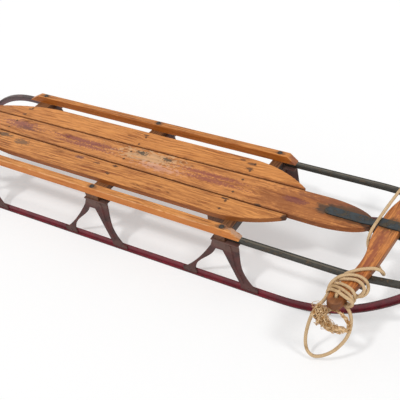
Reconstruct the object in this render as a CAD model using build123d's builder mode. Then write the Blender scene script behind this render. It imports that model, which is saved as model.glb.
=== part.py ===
from build123d import *
import os
from math import acos, atan, atan2, cos, degrees, pi, radians, sin, tan

# Steerable runner sled: three deck slats and two side rails on three wood benches, six pressed
# steel knees, two T-section steel runners whose rear ends curl up to the rails, a T-section front
# bow, and a wood steering bar that swings on a pivot bolt over the bow's arms. A cotton tow rope
# is tied to both ends of the steering bar.
#
# Frame: +X is the way the sled runs, +Y its left side, +Z up. The origin is on the floor, midway
# between the rear of the runner curls and the front of the bow. All sizes are in millimetres.

# ---------------------------------------------------------------- deck
SEAT_Z = 141.5  # tops of the benches: slats, rails and bow arms all meet this level
SLAT_THICKNESS = 12.75
SLAT_GAP = 3.0
SLAT_EDGE_ROUND = 2.0
CENTRE_REAR_X = -655.0
CENTRE_REAR_HALF_WIDTH = 32.0
CENTRE_REAR_ROUND = 38.0  # length of the rounded rear end
CENTRE_SHOULDER_X = 300.0  # the slat widens up to here and then runs parallel
CENTRE_HALF_WIDTH = 43.5
CENTRE_NOSE_X = 440.0
CENTRE_NOSE_LENGTH = 118.0
SIDE_REAR_X = -614.0
SIDE_REAR_BEND_X = -370.0
SIDE_REAR_MID = (-500.0, 86.0)
SIDE_REAR_TIP_Y = 42.0
SIDE_OUTER_Y = 105.0
SIDE_FRONT_BEND_X = 225.0
SIDE_FRONT_MID = (324.0, 85.0)
SIDE_FRONT_TIP_Y = 52.0
SIDE_FRONT_X = 384.0
SIDE_TIP_ROUND = 6.0

# ---------------------------------------------------------------- side rails
RAIL_Y = 143.0
RAIL_WIDTH = 19.0
RAIL_THICKNESS = 19.0
RAIL_REAR_X = -525.0
RAIL_REAR_SLOPE = 37.0  # length of the bevel at the rear end
RAIL_FRONT_X = 322.0
RAIL_FRONT_SLOPE = 22.0
RAIL_EDGE_ROUND = 2.0
# The right rail's front end is worn away past its bolt: distance along and depth of the bite.
CHEWED_PROFILE = ((0.0, -1.0), (4.5, 7.2), (12.0, 5.0), (21.0, 9.0), (36.0, 11.7))
CHEWED_WIDTH = 12.0

# ---------------------------------------------------------------- benches
BENCH_THICKNESS = 14.0
REAR_KNEE_X = -465.0
MIDDLE_KNEE_X = -72.0
FRONT_KNEE_X = 278.5
REAR_BENCH_WIDTH = 42.0
MIDDLE_BENCH_WIDTH = 37.0
FRONT_END_WIDTH = 26.0  # the front bench narrows where it passes under the rails
FRONT_END_AHEAD = 10.0  # from the rail bolt to the bench's front face
FRONT_WIDE_WIDTH = 70.0  # its middle is wide, for the slats' screws
FRONT_WIDE_HALF = 104.0
BRACE_WALL = 3.0
BRACE_HEIGHT = 17.0
BRACE_INSET = 13.0  # the brace's ends stop this far inside the rail bolts

# ---------------------------------------------------------------- steel T bar
TEE_WIDTH = 12.7
TEE_WALL = 3.0
RUNNER_HEIGHT = 17.0

# ---------------------------------------------------------------- runners
CURL_X = -703.0  # centre of the rear curl
CURL_RADIUS = 38.0
RETURN_SETBACK = 9.25  # the return's front end stops this far behind the rear bench
RUNNER_REAR_SPLAY = 28.5  # the runner's rear end stands this far outside the rail
TOE_IN = 0.94  # degrees that each runner leans in towards the front
NOSE_X = 406.0  # where the runner leaves the floor
NOSE_RADIUS = 388.0
RUNNER_BEND_RADIUS = 900.0  # plan bend where the nose turns in along the bow

# ---------------------------------------------------------------- front bow
BOW_ARM_REAR_X = 292.0
BOW_BEND_X = 560.0
BOW_BEND_RADIUS = 400.0
BOW_CORNER_X = 728.7
BOW_CORNER_INSET = 27.0  # inside the rails
BOW_CORNER_RADIUS = 50.0
BOW_FRONT_X = 735.7
BOW_FRONT_RADIUS = 500.0

# ---------------------------------------------------------------- knees
KNEE_WALL = 3.0
KNEE_SEAT_REAR = 24.0  # seat plate, behind and ahead of the rail bolt
KNEE_SEAT_AHEAD = 42.0
KNEE_SEAT_WIDTH = 24.0
KNEE_BLOCK_REAR = 22.0
KNEE_BLOCK_AHEAD = 14.0
KNEE_BLOCK_HEIGHT = 24.0
KNEE_BLOCK_WIDTH = 20.0
KNEE_LEAN_TOP = 6.0  # leg plate's middle, outside the rail bolt, at the seat
KNEE_RIDGE = 2.5
KNEE_RIDGE_WIDTH = 6.0
KNEE_RIDGE_BEND = 60.0
LEG_STANDOFF = 0.3  # keeps the leaning plate off the runner's web
# A knee's outline: distances from the rail bolt, and heights above the floor or below the seat.
REAR_FOOT = (-106.0, -70.0)
FRONT_FOOT = (42.0, 84.0)
KNEE_SHOULDER_DROP = 21.0
KNEE_CROTCH_DROP = 27.5
KNEE_SEAT_OVERLAP = 1.0
KNEE_RIDGE_DROP = 7.5
LEG_FOOT_Z = 14.0

# ---------------------------------------------------------------- bolts
BOLT_RADIUS = 3.0
BOLT_CLEARANCE = 0.1
BOLT_HEAD_RADIUS = 6.5
BOLT_HEAD_HEIGHT = 2.5
NUT_ACROSS_FLATS = 10.0
NUT_HEIGHT = 5.0

# ---------------------------------------------------------------- steering
PIVOT_X = 593.0
STEER_AT_REST = -3.5  # degrees about +Z: the bar stands with its right end a little back
SLIDE_CLEARANCE = 0.3
BAR_THICKNESS = 19.0
BAR_EDGE_ROUND = 4.0
# Distance from the pivot, then the bar's depth behind and ahead of it.
BAR_SHOULDERS = ((0.0, 23.5, 23.0), (32.0, 22.8, 22.4), (64.0, 19.0, 21.6), (88.0, 13.8, 20.8),
                 (110.0, 11.8, 19.5), (134.0, 12.6, 16.8), (180.0, 20.7, 9.3))
HANDLE_RADIUS = 15.5
HANDLE_SWEEP = 13.3  # the handle's end lies this far behind the pivot
BAR_HALF_LENGTH = 245.0
ROPE_HOLE_INSET = 20.0  # from the bar's tip
ROPE_HOLE_RADIUS = 5.0
PIVOT_RADIUS = 4.0
PIVOT_CLEARANCE = 0.08
PIVOT_HEAD_RADIUS = 9.0
PIVOT_HEAD_HEIGHT = 1.2
PIVOT_NUT = 13.0  # across flats
PIVOT_NUT_HEIGHT = 6.0

# ---------------------------------------------------------------- pivot straps
STRAP_WALL = 3.0
STRAP_WIDTH = 24.0
STRAP_NECK_WIDTH = 18.0
STRAP_REAR_X = 452.0
STRAP_NECK_X = 556.0  # where it starts up off the slat
STRAP_CLIMB = 11.0  # length of the climb on to the bar
STRAP_AHEAD = 35.0  # from the pivot to where it turns down
STRAP_FALL = 18.0  # length of the turn down to the lower strap
STRAP_LAP = 26.0  # riveted length on the lower strap
LOWER_STRAP_REAR_X = 500.0
LOWER_STRAP_JOGGLE_X = 690.0  # where it steps up on to the bow
LOWER_STRAP_JOGGLE = 8.0
LOWER_STRAP_INSET = 2.0  # its front end stops this far inside the bow's front edge

# ---------------------------------------------------------------- steering clips
CLIP_INSET = 4.0  # inside the rails
CLIP_X = 2.0
CLIP_WALL = 3.0
CLIP_LENGTH = 16.0
CLIP_SIDE_PLAY = 8.0
CLIP_BOTTOM_PLAY = 1.5
CLIP_EAR = 7.0

# ---------------------------------------------------------------- tow rope
ROPE_RADIUS = 3.5
STRAND_RADIUS = 2.5  # the thin strand between the frayed knot and the loop
WRAPS_START_INSET = 80.0  # the turns round the right handle, as distances from the bar's tip
WRAPS_END_INSET = 28.0
WRAPS_DEPTH = 10.0
FAR_KNOT_RADIUS = 8.0
FAR_KNOT_HEIGHT = 9.0
FRAYED_KNOT_SIZE = (22.0, 12.0)  # half length, half thickness
FRAYED_KNOT_CENTRE = (-40.0, -252.0, -24.0)
FRAYED_KNOT_TILT = 55.0
# Rope points in the steering bar's own frame: ahead of the pivot, to its left, above its underside.
ROPE_RUN = (
    (-13.3, 225.0, 23.0), (-19.5, 185.0, 23.2), (-23.0, 110.5, 23.8), (-25.0, 42.5, 25.2),
    (-25.5, 8.5, 26.3), (-26.5, -16.5, 26.5), (-29.5, -39.0, 18.2), (-27.5, -55.0, -4.3),
    (4.0, -84.0, -4.3), (36.0, -117.0, -4.3), (37.0, -126.0, 22.8), (5.0, -134.0, 22.8),
    (-21.5, -158.0, 23.2), (-23.5, -173.0, 9.2))
ROPE_LOOP = (
    (1.0, -209.0, -4.5), (6.0, -221.0, -4.5), (19.9, -228.0, -9.4), (24.4, -235.0, -21.2),
    (20.9, -242.2, -41.3), (7.5, -252.0, -77.0), (-9.2, -259.0, -104.0), (-25.5, -264.0, -117.3),
    (-40.0, -266.0, -126.0), (-50.5, -266.0, -119.5), (-56.3, -264.5, -95.0),
    (-54.3, -261.8, -65.5), (-49.5, -258.5, -39.7), (-45.0, -255.2, -11.9), (-38.0, -243.0, 5.0),
    (-33.8, -226.0, 9.2), (-32.2, -209.0, 9.2))
ROPE_TAIL = (
    (-10.5, -209.0, 23.5), (-13.3, -225.0, 23.2), (-13.3, -225.0, -8.0), (-24.0, -239.0, -14.0),
    (-36.0, -249.0, -22.0))
ROPE_STRAND = ((-30.0, -250.0, -36.0), (-10.0, -248.0, -46.0), (12.0, -244.0, -43.0),
               (22.3, -239.2, -33.0))

# ---------------------------------------------------------------- derived levels and places
SLAT_TOP_Z = SEAT_Z + SLAT_THICKNESS
RAIL_TOP_Z = SEAT_Z + RAIL_THICKNESS
KNEE_SEAT_Z = SEAT_Z - BENCH_THICKNESS
KNEE_SHOULDER_Z = KNEE_SEAT_Z - KNEE_SHOULDER_DROP
KNEE_CROTCH_Z = KNEE_SEAT_Z - KNEE_CROTCH_DROP
KNEE_TOP_Z = KNEE_SEAT_Z + KNEE_SEAT_OVERLAP
BENCH_HALF_LENGTH = RAIL_Y + RAIL_WIDTH / 2
FRONT_BENCH_FACE_X = FRONT_KNEE_X + FRONT_END_AHEAD
BAR_BOTTOM_Z = SEAT_Z + SLIDE_CLEARANCE
BAR_TOP_Z = BAR_BOTTOM_Z + BAR_THICKNESS
TOE_SLOPE = tan(radians(TOE_IN))
RUNNER_REAR_X = CURL_X - CURL_RADIUS
RUNNER_REAR_Y = RAIL_Y + RUNNER_REAR_SPLAY
BOW_CORNER_Y = RAIL_Y - BOW_CORNER_INSET
CLIP_Y = RAIL_Y - CLIP_INSET

os.makedirs("parts", exist_ok=True)


def runner_y(x):
    """Distance of a runner's middle from the sled's centre line, where it runs on the floor."""
    return RUNNER_REAR_Y - (x - RUNNER_REAR_X) * TOE_SLOPE


def finish(part, name):
    """Label one piece and write it as its own STEP file."""
    part.label = name
    export_step(part, f"parts/{name}.step")


def mirrored(part):
    """The same piece on the sled's other side."""
    with BuildPart() as other:
        add(part)
        mirror(about=Plane.XZ, mode=Mode.REPLACE)
    return other.part


# ================================================================ deck slats
with BuildPart() as centre_slat:
    with BuildSketch(Plane.XY.offset(SEAT_Z)):
        with BuildLine():
            rear_round = EllipticalCenterArc(
                (CENTRE_REAR_X + CENTRE_REAR_ROUND, 0), CENTRE_REAR_ROUND, CENTRE_REAR_HALF_WIDTH,
                start_angle=90, arc_size=180)
            nose = EllipticalCenterArc(
                (CENTRE_NOSE_X, 0), CENTRE_NOSE_LENGTH, CENTRE_HALF_WIDTH,
                start_angle=-90, arc_size=180)
            Polyline(rear_round @ 1, (CENTRE_SHOULDER_X, -CENTRE_HALF_WIDTH), nose @ 0)
            Polyline(nose @ 1, (CENTRE_SHOULDER_X, CENTRE_HALF_WIDTH), rear_round @ 0)
        make_face()
    extrude(amount=SLAT_THICKNESS)
    fillet(centre_slat.faces().sort_by(Axis.Z)[-1].edges(), SLAT_EDGE_ROUND)
finish(centre_slat.part, "centre_slat")

CENTRE_WIDENING = ((CENTRE_HALF_WIDTH - CENTRE_REAR_HALF_WIDTH)
                   / (CENTRE_SHOULDER_X - CENTRE_REAR_X - CENTRE_REAR_ROUND))


def side_inner_y(x):
    """Inner edge of a side slat: the centre slat's edge and the gap beside it."""
    taper = max(CENTRE_SHOULDER_X - x, 0.0) * CENTRE_WIDENING
    return CENTRE_HALF_WIDTH - taper + SLAT_GAP


with BuildPart() as left_slat:
    with BuildSketch(Plane.XY.offset(SEAT_Z)):
        with BuildLine():
            rear_bend = ThreePointArc(
                (SIDE_REAR_X, SIDE_REAR_TIP_Y), SIDE_REAR_MID, (SIDE_REAR_BEND_X, SIDE_OUTER_Y))
            front_bend = ThreePointArc(
                (SIDE_FRONT_BEND_X, SIDE_OUTER_Y), SIDE_FRONT_MID, (SIDE_FRONT_X, SIDE_FRONT_TIP_Y))
            Line(rear_bend @ 1, front_bend @ 0)
            Polyline(
                front_bend @ 1,
                (SIDE_FRONT_X, side_inner_y(SIDE_FRONT_X)),
                (CENTRE_SHOULDER_X, side_inner_y(CENTRE_SHOULDER_X)),
                (SIDE_REAR_X, side_inner_y(SIDE_REAR_X)),
                rear_bend @ 0)
        make_face()
    extrude(amount=SLAT_THICKNESS)
    fillet(left_slat.faces().sort_by(Axis.Z)[-1].edges(), SLAT_EDGE_ROUND)
finish(left_slat.part, "left_slat")
right_slat = mirrored(left_slat.part)
finish(right_slat, "right_slat")

# ================================================================ side rails
BOLT_STATIONS = (REAR_KNEE_X, MIDDLE_KNEE_X, FRONT_KNEE_X)


def rail(side, chewed):
    """One side rail with its bevelled ends, its bolt holes and, if chewed, its worn front end."""
    with BuildPart() as body:
        with BuildSketch(Plane.XZ.offset(-side * RAIL_Y)):
            with BuildLine():
                Polyline(
                    (RAIL_REAR_X, SEAT_Z),
                    (RAIL_FRONT_X, SEAT_Z),
                    (RAIL_FRONT_X - RAIL_FRONT_SLOPE, RAIL_TOP_Z),
                    (RAIL_REAR_X + RAIL_REAR_SLOPE, RAIL_TOP_Z),
                    close=True)
            make_face()
        extrude(amount=RAIL_WIDTH / 2, both=True)
        fillet(body.faces().sort_by(Axis.Z)[-1].edges().filter_by(Axis.X), RAIL_EDGE_ROUND)
        with Locations([(x, side * RAIL_Y, RAIL_TOP_Z) for x in BOLT_STATIONS]):
            Hole(BOLT_RADIUS + BOLT_CLEARANCE)
        if chewed:
            bite = [(FRONT_KNEE_X + BOLT_HEAD_RADIUS + along, RAIL_TOP_Z - depth)
                    for along, depth in CHEWED_PROFILE]
            with BuildSketch(Plane.XZ.offset(-side * (RAIL_Y - RAIL_WIDTH / 2))):
                with BuildLine():
                    Spline(*bite)
                    Polyline(bite[-1], (bite[-1][0], bite[0][1]), bite[0])
                make_face()
            extrude(amount=-side * CHEWED_WIDTH, mode=Mode.SUBTRACT)
    return body.part


left_rail = rail(1, chewed=False)
right_rail = rail(-1, chewed=True)
finish(left_rail, "left_side_rail")
finish(right_rail, "right_side_rail")

# ================================================================ benches
with BuildPart() as rear_bench:
    with BuildSketch(Plane.XY.offset(KNEE_SEAT_Z)):
        with Locations((REAR_KNEE_X, 0)):
            Rectangle(REAR_BENCH_WIDTH, 2 * BENCH_HALF_LENGTH)
        with Locations((REAR_KNEE_X, RAIL_Y), (REAR_KNEE_X, -RAIL_Y)):
            Circle(BOLT_RADIUS + BOLT_CLEARANCE, mode=Mode.SUBTRACT)
    extrude(amount=BENCH_THICKNESS)
finish(rear_bench.part, "rear_bench")

with BuildPart() as middle_bench:
    with BuildSketch(Plane.XY.offset(KNEE_SEAT_Z)):
        with Locations((MIDDLE_KNEE_X, 0)):
            Rectangle(MIDDLE_BENCH_WIDTH, 2 * BENCH_HALF_LENGTH)
        with Locations((MIDDLE_KNEE_X, RAIL_Y), (MIDDLE_KNEE_X, -RAIL_Y)):
            Circle(BOLT_RADIUS + BOLT_CLEARANCE, mode=Mode.SUBTRACT)
    extrude(amount=BENCH_THICKNESS)
finish(middle_bench.part, "middle_bench")

with BuildPart() as front_bench:
    with BuildSketch(Plane.XY.offset(KNEE_SEAT_Z)):
        with Locations((FRONT_BENCH_FACE_X - FRONT_END_WIDTH / 2, 0)):
            Rectangle(FRONT_END_WIDTH, 2 * BENCH_HALF_LENGTH)
        with Locations((FRONT_BENCH_FACE_X - FRONT_WIDE_WIDTH / 2, 0)):
            Rectangle(FRONT_WIDE_WIDTH, 2 * FRONT_WIDE_HALF)
        with Locations((FRONT_KNEE_X, RAIL_Y), (FRONT_KNEE_X, -RAIL_Y)):
            Circle(BOLT_RADIUS + BOLT_CLEARANCE, mode=Mode.SUBTRACT)
    extrude(amount=BENCH_THICKNESS)
finish(front_bench.part, "front_bench")

with BuildPart() as bench_brace:
    with BuildSketch(Plane.XY.offset(SEAT_Z)):
        with Locations((FRONT_BENCH_FACE_X + BRACE_WALL / 2, 0)):
            Rectangle(BRACE_WALL, 2 * (RAIL_Y - BRACE_INSET))
    extrude(amount=-BRACE_HEIGHT)
finish(bench_brace.part, "front_bench_brace")

# ================================================================ front bow
ARM_SLOPE = (RAIL_Y - BOW_CORNER_Y) / (BOW_CORNER_X - BOW_BEND_X)
BOW_TRACK = (
    (BOW_ARM_REAR_X, RAIL_Y),
    (BOW_BEND_X, RAIL_Y),
    (BOW_CORNER_X, BOW_CORNER_Y),
    (BOW_FRONT_X, 0),
    (BOW_CORNER_X, -BOW_CORNER_Y),
    (BOW_BEND_X, -RAIL_Y),
    (BOW_ARM_REAR_X, -RAIL_Y))
BOW_RADII = (BOW_BEND_RADIUS, BOW_CORNER_RADIUS, BOW_FRONT_RADIUS, BOW_CORNER_RADIUS,
             BOW_BEND_RADIUS)

with BuildPart() as front_bow:
    for level, width, height in ((SEAT_Z - TEE_WALL, TEE_WIDTH, TEE_WALL),
                                 (KNEE_SEAT_Z, TEE_WALL, BENCH_THICKNESS - TEE_WALL)):
        with BuildSketch(Plane.XY.offset(level)):
            with BuildLine():
                FilletPolyline(*BOW_TRACK, radius=BOW_RADII)
            trace(line_width=width)
        extrude(amount=height)
finish(front_bow.part, "front_bow")

# ================================================================ runners
# Each runner is an upside-down T: the flange is the tread. Its side view and its plan are drawn
# apart, extruded through each other, and their overlap is kept. The web's tip lies flat against
# the outside of the bow's web.
RETURN_X = REAR_KNEE_X - REAR_BENCH_WIDTH / 2 - RETURN_SETBACK
RETURN_LENGTH = RETURN_X - CURL_X
RETURN_RISE = SEAT_Z - CURL_RADIUS
RETURN_RADIUS = ((RETURN_LENGTH ** 2 + RETURN_RISE ** 2 - CURL_RADIUS ** 2)
                 / (2 * (RETURN_RISE - CURL_RADIUS)))
CURL_TURN = degrees(atan2(RETURN_RADIUS - RETURN_RISE, -RETURN_LENGTH))
TIP_CLEARANCE = 0.3  # the tread stops short of the underside of the bow's web
NOSE_TURN = degrees(acos(
    (NOSE_RADIUS - KNEE_SEAT_Z + TIP_CLEARANCE) / (NOSE_RADIUS - TEE_WALL)))


def nose_side(inset):
    """Side view from the tip down the nose and along the floor to the rearmost point."""
    tip = CenterArc((NOSE_X, NOSE_RADIUS), NOSE_RADIUS - inset, NOSE_TURN - 90, -NOSE_TURN)
    floor = Line(tip @ 1, (CURL_X, inset))
    CenterArc((CURL_X, CURL_RADIUS), CURL_RADIUS - inset, -90, -90)
    return floor


def return_side(inset):
    """Side view from the rearmost point up and forward to the rail's underside."""
    CenterArc((CURL_X, CURL_RADIUS), CURL_RADIUS - inset, 180, CURL_TURN - 180)
    CenterArc((RETURN_X, SEAT_Z - RETURN_RADIUS), RETURN_RADIUS - inset, CURL_TURN, 90 - CURL_TURN)


ARM_ANGLE = atan(ARM_SLOPE)
TIP_LINE_Y = RAIL_Y + TEE_WALL / cos(ARM_ANGLE)  # outside the bow's web, at the bend
BEND_X = BOW_BEND_X - ((runner_y(BOW_BEND_X) - TIP_LINE_Y) / (ARM_SLOPE - TOE_SLOPE))
PLAN_REACH = 40.0  # how far the plan bands run past the side view's ends
TIP_X = BOW_CORNER_X
FLOOR_PLAN = ((RUNNER_REAR_X - PLAN_REACH, runner_y(RUNNER_REAR_X - PLAN_REACH)),
              (BEND_X, runner_y(BEND_X)),
              (TIP_X, TIP_LINE_Y - (TIP_X - BOW_BEND_X) * ARM_SLOPE))
RETURN_SLOPE = (RUNNER_REAR_Y - RAIL_Y) / (RETURN_X - RUNNER_REAR_X)
RETURN_PLAN = ((RUNNER_REAR_X - PLAN_REACH, RUNNER_REAR_Y + PLAN_REACH * RETURN_SLOPE),
               (RETURN_X + PLAN_REACH, RAIL_Y - PLAN_REACH * RETURN_SLOPE))


def runner_band(side_view, inset, thickness, plan, width):
    """The part of the side view's band that lies inside the plan's band."""
    with BuildPart() as band:
        with BuildSketch(Plane.XZ):
            with BuildLine():
                side_view(inset)
            trace(line_width=thickness)
        extrude(amount=-RUNNER_REAR_Y - PLAN_REACH)
        with BuildSketch(Plane.XY):
            with BuildLine():
                if len(plan) == 2:
                    Line(*plan)
                else:
                    FilletPolyline(*plan, radius=RUNNER_BEND_RADIUS)
            trace(line_width=width)
        extrude(amount=SEAT_Z + PLAN_REACH, mode=Mode.INTERSECT)
    return band.part


WEB_DEPTH = RUNNER_HEIGHT - TEE_WALL
with BuildPart() as left_runner:
    for shape, plan_points in ((nose_side, FLOOR_PLAN), (return_side, RETURN_PLAN)):
        add(runner_band(shape, TEE_WALL / 2, TEE_WALL, plan_points, TEE_WIDTH))
        add(runner_band(shape, TEE_WALL + WEB_DEPTH / 2, WEB_DEPTH, plan_points, TEE_WALL))
finish(left_runner.part, "left_runner")
right_runner = mirrored(left_runner.part)
finish(right_runner, "right_runner")

# ================================================================ knees
# A knee is one pressed piece: a seat plate and a boss under the bench, a leaning plate with a
# slim rear leg and a broad, ridged front leg, and two upright feet on the runner's web. Its
# outline is drawn in side view, as distance from the rail bolt and height above the floor.
REAR_LEG_BACK = ((-103.0, LEG_FOOT_Z), (-88.0, 27.0), (-60.0, 58.0), (-27.0, KNEE_SHOULDER_Z))
KNEE_TOP = ((-27.0, KNEE_SHOULDER_Z), (-21.0, KNEE_TOP_Z), (40.0, KNEE_TOP_Z))
FRONT_LEG_AHEAD = ((40.0, KNEE_TOP_Z), (43.0, 90.0), (48.0, 58.0), (60.0, 35.0), (81.0, LEG_FOOT_Z))
FRONT_LEG_BACK = ((44.0, LEG_FOOT_Z), (34.0, 34.0), (20.0, 63.0), (2.0, KNEE_CROTCH_Z))
REAR_LEG_AHEAD = ((-16.0, KNEE_CROTCH_Z), (-47.0, 61.0), (-70.0, 32.0), (-72.0, LEG_FOOT_Z))
FRONT_LEG_RIDGE = ((20.0, KNEE_SEAT_Z - KNEE_RIDGE_DROP), (31.0, 60.0), (50.0, 24.0))
FOOT_BOTTOM_Z = TEE_WALL + SLIDE_CLEARANCE
FOOT_ROUND = 2.0
BLOCK_ROUND = 6.0


def knee(station):
    """The left knee at one station, square to the toed-in runner."""
    base_y = runner_y(station)
    pad_y = TEE_WALL / 2  # the web's outer face
    leg_y = pad_y + KNEE_WALL / 2 + LEG_STANDOFF
    base = Plane(origin=(station, base_y, 0), x_dir=(cos(radians(TOE_IN)), -sin(radians(TOE_IN)), 0),
                 z_dir=(0, 0, 1))
    lean = atan2(leg_y - (RAIL_Y + KNEE_LEAN_TOP - base_y), KNEE_SEAT_Z - RUNNER_HEIGHT)
    up = base.z_dir * cos(lean) - base.y_dir * sin(lean)
    pad = Plane(origin=base.from_local_coords((0, pad_y, 0)), x_dir=base.x_dir, z_dir=-base.y_dir)
    ankle = base.from_local_coords((0, leg_y, RUNNER_HEIGHT))
    leaf = Plane(origin=ankle, x_dir=base.x_dir, z_dir=base.x_dir.cross(up))

    def leaning(points):
        """Side-view points laid on the leaning plate."""
        return [(x, (z - RUNNER_HEIGHT) / cos(lean)) for x, z in points]

    with BuildPart() as body:
        with BuildSketch(pad):
            for rear, front in (REAR_FOOT, FRONT_FOOT):
                with Locations(((rear + front) / 2, (FOOT_BOTTOM_Z + RUNNER_HEIGHT) / 2)):
                    RectangleRounded(front - rear, RUNNER_HEIGHT - FOOT_BOTTOM_Z, FOOT_ROUND)
        extrude(amount=-KNEE_WALL)
        with BuildSketch(leaf):
            with BuildLine():
                Spline(*leaning(REAR_LEG_BACK))
                Polyline(*leaning(KNEE_TOP))
                Spline(*leaning(FRONT_LEG_AHEAD))
                Line(*leaning((FRONT_LEG_AHEAD[-1], FRONT_LEG_BACK[0])))
                Spline(*leaning(FRONT_LEG_BACK))
                Line(*leaning((FRONT_LEG_BACK[-1], REAR_LEG_AHEAD[0])))
                Spline(*leaning(REAR_LEG_AHEAD))
                Line(*leaning((REAR_LEG_AHEAD[-1], REAR_LEG_BACK[0])))
            make_face()
        extrude(amount=KNEE_WALL / 2, both=True)
        with BuildSketch(leaf.offset(-KNEE_WALL / 2)):
            with BuildLine():
                FilletPolyline(*leaning(FRONT_LEG_RIDGE), radius=KNEE_RIDGE_BEND)
            trace(line_width=KNEE_RIDGE_WIDTH)
        extrude(amount=-KNEE_RIDGE, taper=30)
        with BuildSketch(Plane.XY.offset(KNEE_SEAT_Z)):
            with Locations((station + (KNEE_SEAT_AHEAD - KNEE_SEAT_REAR) / 2, RAIL_Y)):
                Rectangle(KNEE_SEAT_AHEAD + KNEE_SEAT_REAR, KNEE_SEAT_WIDTH)
        extrude(amount=-KNEE_WALL)
        with BuildSketch(Plane.XY.offset(KNEE_SEAT_Z)):
            with Locations((station + (KNEE_BLOCK_AHEAD - KNEE_BLOCK_REAR) / 2, RAIL_Y)):
                RectangleRounded(KNEE_BLOCK_AHEAD + KNEE_BLOCK_REAR, KNEE_BLOCK_WIDTH, BLOCK_ROUND)
        extrude(amount=-KNEE_BLOCK_HEIGHT)
        split(bisect_by=Plane.XY.offset(KNEE_SEAT_Z), keep=Keep.BOTTOM)
        with Locations((station, RAIL_Y, KNEE_SEAT_Z)):
            Hole(BOLT_RADIUS + BOLT_CLEARANCE)
    return body.part


for place, station in (("rear", REAR_KNEE_X), ("middle", MIDDLE_KNEE_X), ("front", FRONT_KNEE_X)):
    left_knee = knee(station)
    right_knee = mirrored(left_knee)
    finish(left_knee, f"left_{place}_knee")
    finish(right_knee, f"right_{place}_knee")

# ================================================================ rail bolts
BOLT_FOOT_Z = KNEE_SEAT_Z - KNEE_BLOCK_HEIGHT
with BuildPart() as rail_bolts:
    for x in BOLT_STATIONS:
        for y in (RAIL_Y, -RAIL_Y):
            with BuildSketch(Plane((x, y, BOLT_FOOT_Z - NUT_HEIGHT - 2))):
                Circle(BOLT_RADIUS)
            extrude(amount=RAIL_TOP_Z - BOLT_FOOT_Z + NUT_HEIGHT + 2)
            with BuildSketch(Plane((x, y, RAIL_TOP_Z))):
                Circle(BOLT_HEAD_RADIUS)
            extrude(amount=BOLT_HEAD_HEIGHT, taper=45)
            with BuildSketch(Plane((x, y, BOLT_FOOT_Z))):
                RegularPolygon(NUT_ACROSS_FLATS / 2, 6, major_radius=False)
            extrude(amount=-NUT_HEIGHT)
finish(rail_bolts.part, "rail_bolts")

# ================================================================ pivot straps
# The upper strap lies on the centre slat's nose, climbs on to the steering bar, crosses it and
# comes down on the lower strap. The lower strap starts under the nose, passes below the bar and
# steps up on to the bow.
STRAP_TOP_Z = BAR_TOP_Z + SLIDE_CLEARANCE
STRAP_DOWN_X = PIVOT_X + STRAP_AHEAD
STRAP_LAP_X = STRAP_DOWN_X + STRAP_FALL
NECK_END_X = STRAP_NECK_X + STRAP_CLIMB + (STRAP_WIDTH - STRAP_NECK_WIDTH) / 2
STRAP_BEND_RADIUS = 3.0

with BuildPart() as upper_strap:
    with BuildSketch(Plane.XZ):
        with BuildLine():
            FilletPolyline(
                (STRAP_REAR_X, SLAT_TOP_Z + STRAP_WALL / 2),
                (STRAP_NECK_X, SLAT_TOP_Z + STRAP_WALL / 2),
                (STRAP_NECK_X + STRAP_CLIMB, STRAP_TOP_Z + STRAP_WALL / 2),
                (STRAP_DOWN_X, STRAP_TOP_Z + STRAP_WALL / 2),
                (STRAP_LAP_X, SEAT_Z + STRAP_WALL / 2),
                (STRAP_LAP_X + STRAP_LAP, SEAT_Z + STRAP_WALL / 2),
                radius=STRAP_BEND_RADIUS)
        trace(line_width=STRAP_WALL)
    extrude(amount=STRAP_WIDTH / 2, both=True)
    with BuildSketch(Plane.XY):
        with BuildLine():
            rear_end = CenterArc((STRAP_REAR_X + STRAP_WIDTH / 2, 0), STRAP_WIDTH / 2, 90, 180)
            Polyline(
                rear_end @ 1,
                (STRAP_NECK_X - STRAP_NECK_WIDTH, -STRAP_WIDTH / 2),
                (STRAP_NECK_X, -STRAP_NECK_WIDTH / 2),
                (NECK_END_X, -STRAP_NECK_WIDTH / 2),
                (NECK_END_X + STRAP_BEND_RADIUS, -STRAP_WIDTH / 2),
                (STRAP_LAP_X + STRAP_LAP, -STRAP_WIDTH / 2),
                (STRAP_LAP_X + STRAP_LAP, STRAP_WIDTH / 2),
                (NECK_END_X + STRAP_BEND_RADIUS, STRAP_WIDTH / 2),
                (NECK_END_X, STRAP_NECK_WIDTH / 2),
                (STRAP_NECK_X, STRAP_NECK_WIDTH / 2),
                (STRAP_NECK_X - STRAP_NECK_WIDTH, STRAP_WIDTH / 2),
                rear_end @ 0)
        make_face()
    extrude(amount=STRAP_TOP_Z + 2 * STRAP_WALL, mode=Mode.INTERSECT)
    with Locations((PIVOT_X, 0, STRAP_TOP_Z + STRAP_WALL)):
        Hole(PIVOT_RADIUS, depth=2 * STRAP_WALL)
finish(upper_strap.part, "upper_pivot_strap")

STRAP_FRONT_X = BOW_FRONT_X + TEE_WIDTH / 2 - LOWER_STRAP_INSET
with BuildPart() as lower_strap:
    with BuildSketch(Plane.XZ):
        with BuildLine():
            FilletPolyline(
                (LOWER_STRAP_REAR_X, SEAT_Z - STRAP_WALL / 2),
                (LOWER_STRAP_JOGGLE_X, SEAT_Z - STRAP_WALL / 2),
                (LOWER_STRAP_JOGGLE_X + LOWER_STRAP_JOGGLE, SEAT_Z + STRAP_WALL / 2),
                (STRAP_FRONT_X, SEAT_Z + STRAP_WALL / 2),
                radius=STRAP_BEND_RADIUS)
        trace(line_width=STRAP_WALL)
    extrude(amount=STRAP_WIDTH / 2, both=True)
    with Locations((PIVOT_X, 0, SEAT_Z)):
        Hole(PIVOT_RADIUS)
    fillet(lower_strap.edges().filter_by(Axis.Z), STRAP_BEND_RADIUS)
finish(lower_strap.part, "lower_pivot_strap")

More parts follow.
